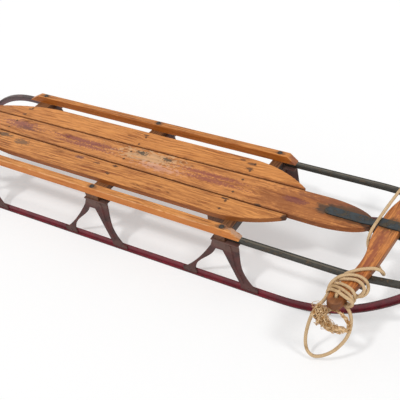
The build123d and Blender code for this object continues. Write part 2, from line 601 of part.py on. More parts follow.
with BuildPart() as pivot_bolt:
    with BuildSketch(Plane((PIVOT_X, 0, SEAT_Z - STRAP_WALL - PIVOT_NUT_HEIGHT))):
        Circle(PIVOT_RADIUS)
    extrude(amount=STRAP_TOP_Z + STRAP_WALL - SEAT_Z + STRAP_WALL + PIVOT_NUT_HEIGHT)
    with BuildSketch(Plane((PIVOT_X, 0, STRAP_TOP_Z + STRAP_WALL))):
        Circle(PIVOT_HEAD_RADIUS)
    extrude(amount=PIVOT_HEAD_HEIGHT, taper=45)
    with BuildSketch(Plane((PIVOT_X, 0, SEAT_Z - STRAP_WALL))):
        RegularPolygon(PIVOT_NUT / 2, 6, major_radius=False)
    extrude(amount=-PIVOT_NUT_HEIGHT)
finish(pivot_bolt.part, "pivot_bolt")

# ================================================================ steering bar
# The bar, its clips and the rope are drawn in the bar's own frame: +X ahead of the pivot, +Y to
# the left, and the bar's underside at zero. One plane carries the turn it stands at.
STEER_PLANE = Plane(
    origin=(PIVOT_X, 0, BAR_BOTTOM_Z),
    x_dir=(cos(radians(STEER_AT_REST)), sin(radians(STEER_AT_REST)), 0),
    z_dir=(0, 0, 1))
HANDLE_CENTRE = BAR_HALF_LENGTH - HANDLE_RADIUS
ROPE_HOLE_Y = BAR_HALF_LENGTH - ROPE_HOLE_INSET
WRAPS_START = BAR_HALF_LENGTH - WRAPS_START_INSET
WRAPS_END = BAR_HALF_LENGTH - WRAPS_END_INSET

with BuildPart() as steering_bar:
    with BuildSketch(STEER_PLANE):
        with BuildLine():
            Spline(
                *[(-behind, reach) for reach, behind, ahead in BAR_SHOULDERS],
                (-HANDLE_SWEEP - HANDLE_RADIUS, HANDLE_CENTRE),
                tangents=((0, 1), (0, 1)))
            CenterArc((-HANDLE_SWEEP, HANDLE_CENTRE), HANDLE_RADIUS, 180, -180)
            Spline(
                *[(ahead, reach) for reach, behind, ahead in BAR_SHOULDERS],
                (HANDLE_RADIUS - HANDLE_SWEEP, HANDLE_CENTRE),
                tangents=((0, 1), (0, 1)))
            mirror(about=Plane.XZ)
        make_face()
        Circle(PIVOT_RADIUS + PIVOT_CLEARANCE, mode=Mode.SUBTRACT)
        with Locations((-HANDLE_SWEEP, ROPE_HOLE_Y), (-HANDLE_SWEEP, -ROPE_HOLE_Y)):
            Circle(ROPE_HOLE_RADIUS, mode=Mode.SUBTRACT)
    extrude(amount=BAR_THICKNESS)
    rims = steering_bar.edges().filter_by(lambda edge: edge.length > pi * HANDLE_RADIUS * 0.9)
    fillet(rims, BAR_EDGE_ROUND)
finish(steering_bar.part, "steering_bar")

# Each clip is a bent strap under the bar that a bow arm runs through.
CLIP_HALF = TEE_WIDTH / 2 + CLIP_SIDE_PLAY + CLIP_WALL
CLIP_BOTTOM = -SLIDE_CLEARANCE - BENCH_THICKNESS - CLIP_BOTTOM_PLAY - CLIP_WALL
CLIP_SIDE_PLANE = Plane(
    origin=STEER_PLANE.from_local_coords((CLIP_X, 0, 0)),
    x_dir=STEER_PLANE.y_dir, z_dir=STEER_PLANE.x_dir)


def steering_clip(side):
    """One steel clip, screwed to the bar's underside by its two ears."""
    middle = side * CLIP_Y
    with BuildPart() as body:
        with BuildSketch(CLIP_SIDE_PLANE):
            with BuildLine():
                Polyline(
                    (middle - CLIP_HALF - CLIP_EAR, -CLIP_WALL / 2),
                    (middle - CLIP_HALF + CLIP_WALL / 2, -CLIP_WALL / 2),
                    (middle - CLIP_HALF + CLIP_WALL / 2, CLIP_BOTTOM + CLIP_WALL / 2),
                    (middle + CLIP_HALF - CLIP_WALL / 2, CLIP_BOTTOM + CLIP_WALL / 2),
                    (middle + CLIP_HALF - CLIP_WALL / 2, -CLIP_WALL / 2),
                    (middle + CLIP_HALF + CLIP_EAR, -CLIP_WALL / 2))
            trace(line_width=CLIP_WALL)
        extrude(amount=CLIP_LENGTH / 2, both=True)
    return body.part


finish(steering_clip(1), "left_steering_clip")
finish(steering_clip(-1), "right_steering_clip")

# ================================================================ tow rope
# The rope is knotted in the left handle's hole, lies across the strap's neck, passes under the
# bar, is wound round the right handle, and ends in a hanging loop with a frayed knot.


def rope(points, radius=ROPE_RADIUS):
    """A round rope along points of the bar's own frame."""
    track = [STEER_PLANE.from_local_coords(point) for point in points]
    runs = [(end - start).length for start, end in zip(track, track[1:])]
    bends = []
    for index in range(1, len(track) - 1):
        turn = radians((track[index] - track[index - 1]).get_angle(track[index + 1] - track[index]))
        bends.append(0.45 * min(runs[index - 1], runs[index]) / tan(turn / 2))
    print("rope bend radii:", [round(bend, 1) for bend in bends])
    with BuildPart() as strand:
        with BuildLine():
            path = FilletPolyline(*track, radius=bends)
        with BuildSketch(Plane(origin=path @ 0, z_dir=path % 0)):
            Circle(radius)
        sweep(path=path)
    print("rope length:", round(path.length, 1), "volume over section by length:",
          round(strand.part.volume / (path.length * pi * radius ** 2), 4))
    return strand.part


# The turns round the handle: one closed sleeve that follows the bar's outline.
with BuildPart() as wraps:
    with BuildSketch(STEER_PLANE.offset(-WRAPS_DEPTH)):
        with BuildLine():
            Spline(*[(WRAPS_DEPTH + ahead, -reach) for reach, behind, ahead in BAR_SHOULDERS],
                   (WRAPS_DEPTH + HANDLE_RADIUS - HANDLE_SWEEP, -HANDLE_CENTRE))
            Spline(*[(-WRAPS_DEPTH - behind, -reach) for reach, behind, ahead in BAR_SHOULDERS],
                   (-WRAPS_DEPTH - HANDLE_RADIUS - HANDLE_SWEEP, -HANDLE_CENTRE))
            Line((WRAPS_DEPTH + BAR_SHOULDERS[0][2], 0), (-WRAPS_DEPTH - BAR_SHOULDERS[0][1], 0))
            Line((WRAPS_DEPTH + HANDLE_RADIUS - HANDLE_SWEEP, -HANDLE_CENTRE),
                 (-WRAPS_DEPTH - HANDLE_RADIUS - HANDLE_SWEEP, -HANDLE_CENTRE))
        make_face()
        with Locations((0, -(WRAPS_START + WRAPS_END) / 2)):
            Rectangle(2 * BAR_HALF_LENGTH, WRAPS_END - WRAPS_START, mode=Mode.INTERSECT)
    extrude(amount=BAR_THICKNESS + 2 * WRAPS_DEPTH)
    add(steering_bar.part, mode=Mode.SUBTRACT)
finish(wraps.part, "tow_rope_wraps")

FAR_HOLE = (-HANDLE_SWEEP, ROPE_HOLE_Y)
with BuildPart() as far_knot:
    with BuildSketch(STEER_PLANE.offset(-FAR_KNOT_HEIGHT)):
        with Locations(FAR_HOLE):
            Circle(ROPE_RADIUS)
    extrude(amount=BAR_THICKNESS + 2 * FAR_KNOT_HEIGHT)
    with Locations(STEER_PLANE.offset(-FAR_KNOT_RADIUS) * Pos(*FAR_HOLE)):
        Sphere(FAR_KNOT_RADIUS)
    with Locations(STEER_PLANE.offset(BAR_THICKNESS) * Pos(*FAR_HOLE)):
        Sphere(FAR_KNOT_RADIUS)
    add(steering_bar.part, mode=Mode.SUBTRACT)
finish(far_knot.part, "tow_rope_far_knot")

with BuildPart() as rope_run:
    add(rope(ROPE_RUN))
    add(far_knot.part, mode=Mode.SUBTRACT)
    add(wraps.part, mode=Mode.SUBTRACT)
finish(rope_run.part, "tow_rope_run")

with BuildPart() as rope_loop:
    add(rope(ROPE_LOOP))
    add(wraps.part, mode=Mode.SUBTRACT)
finish(rope_loop.part, "tow_rope_loop")

# The frayed knot is a lump that the loop's rear side runs through.
with BuildPart() as frayed_knot:
    with BuildSketch(Plane.XZ):
        Ellipse(FRAYED_KNOT_SIZE[0], FRAYED_KNOT_SIZE[1])
        Rectangle(2 * FRAYED_KNOT_SIZE[0], FRAYED_KNOT_SIZE[1], align=(Align.CENTER, Align.MIN),
                  mode=Mode.INTERSECT)
    revolve(axis=Axis.X)
knot_place = STEER_PLANE * Pos(*FRAYED_KNOT_CENTRE) * Rot(0, FRAYED_KNOT_TILT, 0)
with BuildPart() as placed_knot:
    add(knot_place * frayed_knot.part)
    add(rope_loop.part, mode=Mode.SUBTRACT)
finish(placed_knot.part, "tow_rope_frayed_knot")

with BuildPart() as rope_tail:
    add(rope(ROPE_TAIL))
    add(wraps.part, mode=Mode.SUBTRACT)
    add(placed_knot.part, mode=Mode.SUBTRACT)
finish(rope_tail.part, "tow_rope_tail")

with BuildPart() as rope_strand:
    add(rope(ROPE_STRAND, STRAND_RADIUS))
    add(placed_knot.part, mode=Mode.SUBTRACT)
    add(rope_loop.part, mode=Mode.SUBTRACT)
finish(rope_strand.part, "tow_rope_strand")
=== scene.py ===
import logging
import math
from dataclasses import dataclass
from enum import Enum
from functools import cache

import bpy
from mathutils import Matrix, Vector


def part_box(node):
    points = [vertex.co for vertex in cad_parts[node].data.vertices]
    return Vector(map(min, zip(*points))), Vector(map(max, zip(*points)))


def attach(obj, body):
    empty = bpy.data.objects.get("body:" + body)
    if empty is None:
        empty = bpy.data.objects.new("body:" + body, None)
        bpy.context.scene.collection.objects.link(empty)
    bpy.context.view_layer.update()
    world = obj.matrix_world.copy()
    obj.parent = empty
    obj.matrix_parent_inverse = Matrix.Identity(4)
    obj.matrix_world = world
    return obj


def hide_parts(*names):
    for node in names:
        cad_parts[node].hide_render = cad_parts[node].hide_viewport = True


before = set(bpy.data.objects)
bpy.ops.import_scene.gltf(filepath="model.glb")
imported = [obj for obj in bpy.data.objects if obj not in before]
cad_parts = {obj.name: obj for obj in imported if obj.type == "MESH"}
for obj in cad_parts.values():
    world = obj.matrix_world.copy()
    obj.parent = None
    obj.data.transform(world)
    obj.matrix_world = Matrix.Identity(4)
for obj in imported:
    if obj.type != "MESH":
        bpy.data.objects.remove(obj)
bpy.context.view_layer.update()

LOG = logging.getLogger("runner_sled")
MM = 0.001
Point = tuple[float, float, float]
Place = tuple[float, float]
Value = float | bool | str | tuple[float, ...] | bpy.types.NodeSocket
Sockets = bpy.types.bpy_prop_collection

# Sizes that several sub-assemblies share, in millimetres and degrees.
SIDES = (("left", 1.0), ("right", -1.0))
KNEES = (("rear", -465.0), ("middle", -72.0), ("front", 278.5))  # each is under a rail bolt
RAIL_LINE = 143.0  # how far out the rail bolts and the bow's arms are
DECK_TOP = 154.0
THROUGH = 30.0  # a stain's reach that takes in a board's whole thickness
PIVOT = (593.0, 0.0)
BAR_TURN = -3.5
ABOVE = 300.0  # the level where a search for a seat starts, over the deck
BESIDE = 400.0  # how far out it starts, beside the knees and the runners


def paint(code: str) -> tuple[float, float, float, float]:
    """Turns a paint code into a colour that a shader reads.

    Args:
        code: six hex digits, as a paint chart gives them.

    Returns:
        Linear red, green and blue, and a full alpha.
    """
    steps = [int(code[i:i + 2], 16) / 255 for i in (0, 2, 4)]
    linear = [s / 12.92 if s <= 0.04045 else ((s + 0.055) / 1.055) ** 2.4 for s in steps]
    return (linear[0], linear[1], linear[2], 1.0)


def metres(point: Point) -> Point:
    """A point in millimetres, in metres."""
    return (point[0] * MM, point[1] * MM, point[2] * MM)


# ---------------------------------------------------------------- node wiring
class Wiring:
    """Adds nodes to one node tree and joins their sockets."""

    def __init__(self, tree: bpy.types.NodeTree) -> None:
        """Keeps the tree that the nodes go in."""
        self.tree = tree

    def node(self, kind: str, **settings: object) -> bpy.types.Node:
        """Adds a node.

        Args:
            kind: the node's type name.
            settings: values for the node's own properties.

        Returns:
            The new node.
        """
        node = self.tree.nodes.new(kind)
        for name, value in settings.items():
            setattr(node, name, value)
        return node

    def feed(self, socket: bpy.types.NodeSocket, value: Value) -> None:
        """Joins an output to a socket, or sets the socket's own value."""
        if isinstance(value, bpy.types.NodeSocket):
            self.tree.links.new(value, socket)
        else:
            socket.default_value = value

    def made(self, kind: str, inputs: dict[str | int, Value] | None = None,
             **settings: object) -> Sockets:
        """Adds a node and feeds its inputs.

        Args:
            kind: the node's type name.
            inputs: what goes in each input, by the input's name or number.
            settings: values for the node's own properties.

        Returns:
            The node's outputs.
        """
        node = self.node(kind, **settings)
        for key, value in (inputs or {}).items():
            self.feed(node.inputs[key], value)
        return node.outputs

    def math(self, operation: str, first: Value, second: Value = 0.0,
             clamp: bool = False) -> bpy.types.NodeSocket:
        """A number worked out from one or two others."""
        return self.made("ShaderNodeMath", {0: first, 1: second}, operation=operation,
                         use_clamp=clamp)[0]

    def add(self, first: Value, second: Value) -> bpy.types.NodeSocket:
        """The sum of two numbers."""
        return self.math("ADD", first, second)

    def sub(self, first: Value, second: Value) -> bpy.types.NodeSocket:
        """The first number less the second."""
        return self.math("SUBTRACT", first, second)

    def mul(self, first: Value, second: Value) -> bpy.types.NodeSocket:
        """The product of two numbers."""
        return self.math("MULTIPLY", first, second)

    def invert(self, share: Value) -> bpy.types.NodeSocket:
        """1 less a share."""
        return self.sub(1.0, share)

    def vector(self, operation: str, first: Value, second: Value = (0.0, 0.0, 0.0),
               scale: Value = 1.0) -> bpy.types.NodeSocket:
        """A vector, or its length, worked out from one or two others.

        Args:
            operation: the vector operation.
            first: the first vector.
            second: the second vector, where the operation has one.
            scale: the factor of a SCALE operation.

        Returns:
            The result's output socket.
        """
        inputs = {0: first, 1: second} | ({"Scale": scale} if operation == "SCALE" else {})
        outputs = self.made("ShaderNodeVectorMath", inputs, operation=operation)
        return outputs["Value" if operation == "LENGTH" else "Vector"]

    def parts(self, vector: Value) -> Sockets:
        """A vector's three parts."""
        return self.made("ShaderNodeSeparateXYZ", {0: vector})

    def join(self, x: Value, y: Value, z: Value) -> bpy.types.NodeSocket:
        """Three numbers made a vector."""
        return self.made("ShaderNodeCombineXYZ", {0: x, 1: y, 2: z})[0]

    def noise(self, vector: Value, scale: Value, detail: float = 2.0,
              roughness: float = 0.5) -> bpy.types.NodeSocket:
        """Soft noise from 0 to 1 over a vector."""
        return self.made("ShaderNodeTexNoise", {
            "Vector": vector, "Scale": scale, "Detail": detail, "Roughness": roughness})[0]

    def step(self, value: Value, low: Value, high: Value) -> bpy.types.NodeSocket:
        """A smooth step: 0 at low and 1 at high."""
        return self.made("ShaderNodeMapRange", {
            "Value": value, "From Min": low, "From Max": high},
            interpolation_type="SMOOTHSTEP")["Result"]

    def mix(self, factor: Value, first: Value, second: Value) -> bpy.types.NodeSocket:
        """A colour between two others."""
        return self.made("ShaderNodeMix", {0: factor, 6: first, 7: second},
                         data_type="RGBA")[2]

    def here(self) -> bpy.types.NodeSocket:
        """The point in the row frame, in metres."""
        return self.made("ShaderNodeTexCoord")["Object"]

    def group(self, tree: bpy.types.NodeTree, **values: Value) -> Sockets:
        """Places a node group.

        Args:
            tree: the group.
            values: its inputs by name, with _ for each space.

        Returns:
            The group's outputs.
        """
        inputs = {name.replace("_", " "): value for name, value in values.items()}
        return self.made("ShaderNodeGroup", inputs, node_tree=tree)


class Socket(Enum):
    """Kinds of socket that a group's interface has."""

    NUMBER = "NodeSocketFloat"
    WHOLE = "NodeSocketInt"
    VECTOR = "NodeSocketVector"
    COLOUR = "NodeSocketColor"
    SHAPE = "NodeSocketGeometry"
    FINISH = "NodeSocketMaterial"


def new_group(name: str, kind: str, inputs: dict[str, Socket], outputs: dict[str, Socket],
              ) -> tuple[Wiring, Sockets, Sockets]:
    """Starts a node group with named sockets.

    Args:
        name: the group's name.
        kind: ShaderNodeTree or GeometryNodeTree.
        inputs: its inputs' names and kinds.
        outputs: its outputs' names and kinds.

    Returns:
        The group's wiring, what is given to it and what it puts out.
    """
    tree = bpy.data.node_groups.new(name, kind)
    for names, way in ((inputs, "INPUT"), (outputs, "OUTPUT")):
        for socket, sort in names.items():
            tree.interface.new_socket(socket, in_out=way, socket_type=sort.value)
    wiring = Wiring(tree)
    given, out = wiring.node("NodeGroupInput"), wiring.node("NodeGroupOutput")
    return wiring, given.outputs, out.inputs


# ---------------------------------------------------------------- shared effects
@cache
def wood_grain() -> bpy.types.NodeTree:
    """Grain of a sawn board that runs along the vector's X.

    Returns:
        A group that gives the board's colour and the height of its open grain.
    """
    w, given, out = new_group(
        "wood_grain", "ShaderNodeTree",
        {"Vector": Socket.VECTOR, "Spacing": Socket.NUMBER, "Wander": Socket.NUMBER,
         "Contrast": Socket.NUMBER, "Seed": Socket.NUMBER, "Pale": Socket.COLOUR,
         "Dark": Socket.COLOUR, "Deep": Socket.COLOUR},
        {"Color": Socket.COLOUR, "Height": Socket.NUMBER})
    seed, wander = given["Seed"], given["Wander"]
    place = w.vector("ADD", given["Vector"], w.join(seed, w.mul(seed, 0.37), 0.0))
    along, across, level = w.parts(place)
    across = w.add(across, w.mul(level, 0.7))
    for stretch, scale, share in ((0.12, 15.0, 1.0), (0.2, 42.0, 0.22), (0.3, 120.0, 0.06)):
        sway = w.noise(w.vector("MULTIPLY", place, (stretch, 1.0, 1.0)), scale, 1.5)
        across = w.add(across, w.mul(w.sub(sway, 0.5), w.mul(wander, share)))
    bent = w.join(along, across, 0.0)
    ring = w.math("FRACT", w.math("DIVIDE", across, given["Spacing"]))
    late = w.mul(w.step(ring, 0.2, 0.8), w.invert(w.step(ring, 0.86, 1.0)))
    patch = w.step(w.noise(w.vector("MULTIPLY", place, (0.35, 1.0, 1.0)), 34.0, 2.0), 0.36, 0.64)
    streak = w.noise(w.vector("MULTIPLY", bent, (0.08, 1.0, 1.0)), 175.0, 5.0, 0.74)
    fibre = w.noise(w.vector("MULTIPLY", bent, (0.06, 1.0, 1.0)), 430.0, 3.0, 0.7)
    tone = w.noise(w.vector("MULTIPLY", place, (0.4, 1.0, 1.0)), 19.0, 3.0, 0.55)
    dashes = w.step(w.noise(w.vector("MULTIPLY", bent, (0.055, 1.0, 1.0)), 330.0, 3.0, 0.62),
                    0.54, 0.66)
    depth = w.mul(late, w.add(w.mul(patch, 0.42), 0.1))
    for part, share in ((w.step(streak, 0.38, 0.62), 0.5), (w.step(fibre, 0.34, 0.66), 0.42),
                        (w.step(tone, 0.3, 0.7), 0.26)):
        depth = w.add(depth, w.mul(part, share))
    depth = w.sub(depth, 0.27)
    depth = w.math("MULTIPLY", depth, given["Contrast"], clamp=True)
    colour = w.mix(depth, given["Pale"], given["Dark"])
    marks = w.mul(dashes, w.add(w.mul(patch, 0.6), 0.1))
    w.feed(out["Color"], w.mix(marks, colour, given["Deep"]))
    height = w.add(w.mul(marks, -0.8), w.mul(late, -0.2))
    w.feed(out["Height"], w.add(height, w.mul(fibre, 0.4)))
    return w.tree


@cache
def stain_or_light_patch() -> bpy.types.NodeTree:
    """An oval patch with a ragged, broken edge.

    Returns:
        A group that gives the patch's mask.
    """
    w, given, out = new_group(
        "stain_or_light_patch", "ShaderNodeTree",
        {"Vector": Socket.VECTOR, "Centre": Socket.VECTOR, "Radii": Socket.VECTOR,
         "Ragged": Socket.NUMBER, "Grit": Socket.NUMBER},
        {"Mask": Socket.NUMBER})
    away = w.vector("LENGTH", w.vector("DIVIDE", w.vector(
        "SUBTRACT", given["Vector"], given["Centre"]), given["Radii"]))
    torn = w.noise(w.vector("MULTIPLY", given["Vector"], (0.55, 1.0, 1.0)),
                   given["Grit"], 3.0, 0.65)
    away = w.add(away, w.mul(w.sub(torn, 0.5), given["Ragged"]))
    w.feed(out["Mask"], w.invert(w.step(away, 0.55, 1.15)))
    return w.tree


@cache
def face_sides() -> bpy.types.NodeTree:
    """Which way a face looks.

    Returns:
        A group that gives masks of the side faces and of the undersides.
    """
    w, _, out = new_group("face_sides", "ShaderNodeTree", {},
                          {"Side": Socket.NUMBER, "Under": Socket.NUMBER})
    up = w.parts(w.made("ShaderNodeNewGeometry")["True Normal"])[2]
    w.feed(out["Side"], w.invert(w.step(w.math("ABSOLUTE", up), 0.35, 0.8)))
    w.feed(out["Under"], w.step(w.mul(up, -1.0), 0.35, 0.8))
    return w.tree


@cache
def worn_paint() -> bpy.types.NodeTree:
    """Paint or mill scale that has worn through to what is under it.

    Returns:
        A group that gives the colour, a mask of the bare places, and the surface's height.
    """
    w, given, out = new_group(
        "worn_paint", "ShaderNodeTree",
        {"Vector": Socket.VECTOR, "Paint": Socket.COLOUR, "Shade": Socket.COLOUR,
         "Bare": Socket.COLOUR, "Wear": Socket.NUMBER, "Scale": Socket.NUMBER},
        {"Color": Socket.COLOUR, "Worn": Socket.NUMBER, "Height": Socket.NUMBER})
    vector, scale = given["Vector"], given["Scale"]
    broad = w.noise(vector, scale, 3.0, 0.6)
    fine = w.noise(vector, w.mul(scale, 7.0), 3.0, 0.65)
    level = w.sub(0.80, w.mul(given["Wear"], 0.42))
    mixed = w.add(w.mul(broad, 0.6), w.mul(fine, 0.4))
    worn = w.step(mixed, level, w.add(level, 0.07))
    tinted = w.mix(w.step(broad, 0.35, 0.65), given["Paint"], given["Shade"])
    speckled = w.mix(w.mul(w.step(fine, 0.5, 0.72), 0.35), tinted, given["Bare"])
    w.feed(out["Color"], w.mix(worn, speckled, given["Bare"]))
    w.feed(out["Worn"], worn)
    w.feed(out["Height"], w.sub(fine, w.mul(worn, 0.6)))
    return w.tree


# ---------------------------------------------------------------- finishes
def new_finish(name: str) -> tuple[bpy.types.Material, Wiring, bpy.types.Node]:
    """Starts a material.

    Args:
        name: the material's name.

    Returns:
        The material, its wiring and its Principled shader.
    """
    material = bpy.data.materials.new(name)
    material.use_nodes = True
    return material, Wiring(material.node_tree), material.node_tree.nodes["Principled BSDF"]


def add_relief(w: Wiring, shader: bpy.types.Node, height: Value, depth: float) -> None:
    """Gives a shader fine relief.

    Args:
        w: the material's wiring.
        shader: its Principled shader.
        height: the relief's height, from 0 to 1.
        depth: how deep that is, in metres.
    """
    bump = w.made("ShaderNodeBump", {"Strength": 0.7, "Distance": depth, "Height": height})
    w.feed(shader.inputs["Normal"], bump[0])


@dataclass(frozen=True)
class StainOrPaintedLight:
    """A patch of old colour, dirt or bare wood on a board, or a band of painted highlight or painted
    shade, in millimetres on the board or other piece it lies on.
    """

    centre: Place
    radii: Place
    colour: str
    strength: float
    ragged: float
    grit: float
    level: float
    reach: float


Mark = tuple[Place, Place, str, float, float, float]


def stains_at(level: float, reach: float, rows: tuple[Mark, ...]) -> tuple[StainOrPaintedLight, ...]:
    """Stains that lie at one level.

    Args:
        level: their middle's height, in millimetres.
        reach: how far up and down they go.
        rows: each one's centre, radii, colour, strength, raggedness and grit.

    Returns:
        The stains, in the same order.
    """
    return tuple(StainOrPaintedLight(*row, level, reach) for row in rows)


def with_stains_and_painted_light(w: Wiring, place: Value, colour: Value, stains_and_painted_light: tuple[StainOrPaintedLight, ...],
            ) -> bpy.types.NodeSocket:
    """Lays stains, and bands of painted highlight and painted shade, over a colour.

    Args:
        w: the material's wiring.
        place: the point, in metres.
        colour: the colour under the stains.
        stains_and_painted_light: the stains and the painted bands, the lowest first.

    Returns:
        The colour with its stains and painted bands.
    """
    for mark in stains_and_painted_light:
        patch = w.group(
            stain_or_light_patch(), Vector=place, Grit=mark.grit, Ragged=mark.ragged,
            Centre=metres((*mark.centre, mark.level)),
            Radii=metres((*mark.radii, mark.reach)))
        mask = w.mul(patch["Mask"], mark.strength)
        colour = w.mix(mask, colour, paint(mark.colour))
    return colour


@dataclass(frozen=True)
class WoodFinish:
    """Oiled, weathered wood. The grain runs along X after the board's turn about Z."""

    name: str
    pale: str
    dark: str
    deep: str = "5E3014"
    spacing: float = 9.0
    wander: float = 60.0
    contrast: float = 0.8
    seed: float = 0.0
    # The side colour and its share darken the side faces: partly the side grain's own colour, partly
    # painted shade.
    side_grain_and_shade: str = "8A4A18"
    side_grain_and_shade_share: float = 0.6
    under_colour: str = "A9713C"
    gloss: float = 0.45
    origin: Point = (0.0, 0.0, 0.0)
    turn: float = 0.0
    stains_and_painted_light: tuple[StainOrPaintedLight, ...] = ()

    def material(self) -> bpy.types.Material:
        """The wood's material."""
        material, w, shader = new_finish(self.name)
        place = w.made("ShaderNodeMapping", {
            "Vector": w.here(), "Location": metres(self.origin),
            "Rotation": (0.0, 0.0, math.radians(self.turn))}, vector_type="TEXTURE")[0]
        grain = w.group(
            wood_grain(), Vector=place, Spacing=self.spacing * MM, Wander=self.wander * MM,
            Contrast=self.contrast, Seed=self.seed, Pale=paint(self.pale), Dark=paint(self.dark),
            Deep=paint(self.deep))
        sides = w.group(face_sides())
        # Side faces are mixed towards the side colour: partly side grain, partly painted shade.
        side = w.mul(sides["Side"], self.side_grain_and_shade_share)
        colour = w.mix(side, grain["Color"], paint(self.side_grain_and_shade))
        under = w.mul(sides["Under"], 0.5)
        colour = w.mix(under, colour, paint(self.under_colour))
        w.feed(shader.inputs["Base Color"], with_stains_and_painted_light(w, place, colour, self.stains_and_painted_light))
        w.feed(shader.inputs["Roughness"], w.sub(1.0 - self.gloss, w.mul(grain["Height"], 0.25)))
        shader.inputs["Specular IOR Level"].default_value = 0.35
        add_relief(w, shader, grain["Height"], 0.5 * MM)
        return material


@dataclass(frozen=True)
class SteelFinish:
    """Old painted or bare steel with patches of wear."""

    name: str
    coat: str
    shade: str
    bare: str
    wear: float = 0.4
    scale: float = 60.0
    roughness: float = 0.5
    metallic: float = 0.5
    stains_and_painted_light: tuple[StainOrPaintedLight, ...] = ()

    def material(self) -> bpy.types.Material:
        """The steel's material."""
        material, w, shader = new_finish(self.name)
        place = w.here()
        worn = w.group(worn_paint(), Vector=place, Paint=paint(self.coat), Shade=paint(self.shade),
                       Bare=paint(self.bare), Wear=self.wear, Scale=self.scale)
        w.feed(shader.inputs["Base Color"], with_stains_and_painted_light(w, place, worn["Color"], self.stains_and_painted_light))
        w.feed(shader.inputs["Roughness"], w.add(self.roughness, w.mul(worn["Worn"], 0.2)))
        shader.inputs["Metallic"].default_value = self.metallic
        add_relief(w, shader, worn["Height"], 0.25 * MM)
        return material


@dataclass(frozen=True)
class RunnerFinish:
    """Red paint on a runner's web, and dark worn steel on its tread and its web's top edge.

    Sizes are in millimetres. The depth is measured in from the tread's outer face.
    """

    name: str
    red: str = "781E2C"
    red_shade: str = "5E2029"
    dark: str = "583A36"
    rust: str = "6E4A40"
    faded: str = "553E3F"
    nose_centre: Place = (406.0, 388.0)
    curl_centre: Place = (-703.0, 38.0)
    return_centre: Place = (-495.3, -258.7)
    return_radius: float = 400.0
    return_above: float = 45.0
    return_reach: float = 60.0
    web_starts: float = 2.4
    web_ends: float = 16.8
    faded_levels: tuple[float, float] = (48.0, 90.0)
    faded_ends: tuple[float, float] = (-560.0, -300.0)

    def _depth(self, w: Wiring, place: Value) -> bpy.types.NodeSocket:
        """Depth in from the tread's outer face.

        Args:
            w: the material's wiring.
            place: the point, in metres.

        Returns:
            The depth in millimetres.
        """
        at = w.parts(w.vector("SCALE", place, scale=1.0 / MM))
        ahead = w.math("MAXIMUM", w.sub(at[0], self.nose_centre[0]), 0.0)
        nose = w.sub(self.nose_centre[1], w.vector("LENGTH", w.join(
            ahead, w.sub(at[2], self.nose_centre[1]), 0.0)))
        behind = w.sub(at[0], self.curl_centre[0])
        curl = w.sub(self.curl_centre[1], w.vector("LENGTH", w.join(
            behind, w.sub(at[2], self.curl_centre[1]), 0.0)))
        back = w.sub(self.return_radius, w.vector("LENGTH", w.join(
            w.sub(at[0], self.return_centre[0]), w.sub(at[2], self.return_centre[1]), 0.0)))
        in_curl = w.math("LESS_THAN", at[0], self.curl_centre[0])
        raised = w.mul(w.math("GREATER_THAN", at[2], self.return_above), w.math(
            "LESS_THAN", at[0], self.return_centre[0] + self.return_reach))
        depth = w.add(w.mul(curl, in_curl), w.mul(nose, w.invert(in_curl)))
        raised = w.mul(raised, w.invert(in_curl))
        return w.add(w.mul(back, raised), w.mul(depth, w.invert(raised)))

    def material(self) -> bpy.types.Material:
        """The runner's material."""
        material, w, shader = new_finish(self.name)
        place = w.here()
        depth = self._depth(w, place)
        chipped = w.mul(w.sub(w.noise(place, 90.0, 3.0), 0.5), 3.0)
        below = w.step(w.add(depth, chipped), self.web_starts - 0.3, self.web_starts + 0.5)
        above = w.step(w.add(depth, w.mul(chipped, 0.6)), self.web_ends, self.web_ends + 0.8)
        web = w.mul(below, w.invert(above))
        painted = w.group(worn_paint(), Vector=place, Paint=paint(self.red),
                          Shade=paint(self.red_shade), Bare=paint(self.dark), Wear=0.3, Scale=28.0)
        worn = w.group(worn_paint(), Vector=place, Paint=paint(self.dark),
                       Shade=paint("2E2422"), Bare=paint(self.rust), Wear=0.5, Scale=70.0)
        at = w.parts(w.vector("SCALE", place, scale=1.0 / MM))
        raised = w.mul(w.step(at[2], *self.faded_levels), w.invert(w.step(at[0], *self.faded_ends)))
        red = w.mix(w.mul(raised, 0.8), painted["Color"], paint(self.faded))
        w.feed(shader.inputs["Base Color"], w.mix(web, worn["Color"], red))
        w.feed(shader.inputs["Roughness"], w.add(0.48, w.mul(painted["Worn"], 0.25)))
        w.feed(shader.inputs["Metallic"], w.mul(w.invert(web), 0.35))
        add_relief(w, shader, painted["Height"], 0.25 * MM)
        return material


@dataclass(frozen=True)
class RopeFinish:
    """Old cotton cord, read from a piece's UV map: U goes once round it and V is its length."""

    name: str
    # The light and shade colours are a painted highlight on the yarns' crowns and painted shade in
    # the grooves between them.
    light: str = "E4C79F"
    shade: str = "A67F50"
    dirt: str = "9C7646"
    yarns: int = 8
    pitch: float = 26.0

    def material(self) -> bpy.types.Material:
        """The cord's material."""
        material, w, shader = new_finish(self.name)
        around = w.made("ShaderNodeUVMap", uv_map="lay")[0]
        place = w.here()
        turn, run = w.parts(around)[0], w.parts(around)[1]
        turns = w.math("DIVIDE", run, self.pitch * MM)
        lay = w.math("FRACT", w.mul(self.yarns, w.sub(turn, turns)))
        crown = w.math("SINE", w.mul(lay, math.pi))
        fluff = w.noise(place, 900.0, 3.0, 0.7)
        # Crowns take the light colour and grooves the shade colour, broken by fluff: a painted
        # highlight and painted shade on the lay.
        colour = w.mix(w.step(w.add(crown, w.mul(fluff, 0.5)), 0.3, 1.15),
                       paint(self.shade), paint(self.light))
        soiled = w.mul(w.step(w.noise(place, 45.0, 3.0, 0.6), 0.5, 0.75), 0.55)
        w.feed(shader.inputs["Base Color"], w.mix(soiled, colour, paint(self.dirt)))
        shader.inputs["Roughness"].default_value = 0.9
        shader.inputs["Specular IOR Level"].default_value = 0.2
        add_relief(w, shader, w.add(crown, w.mul(fluff, 0.4)), 0.35 * MM)
        return material


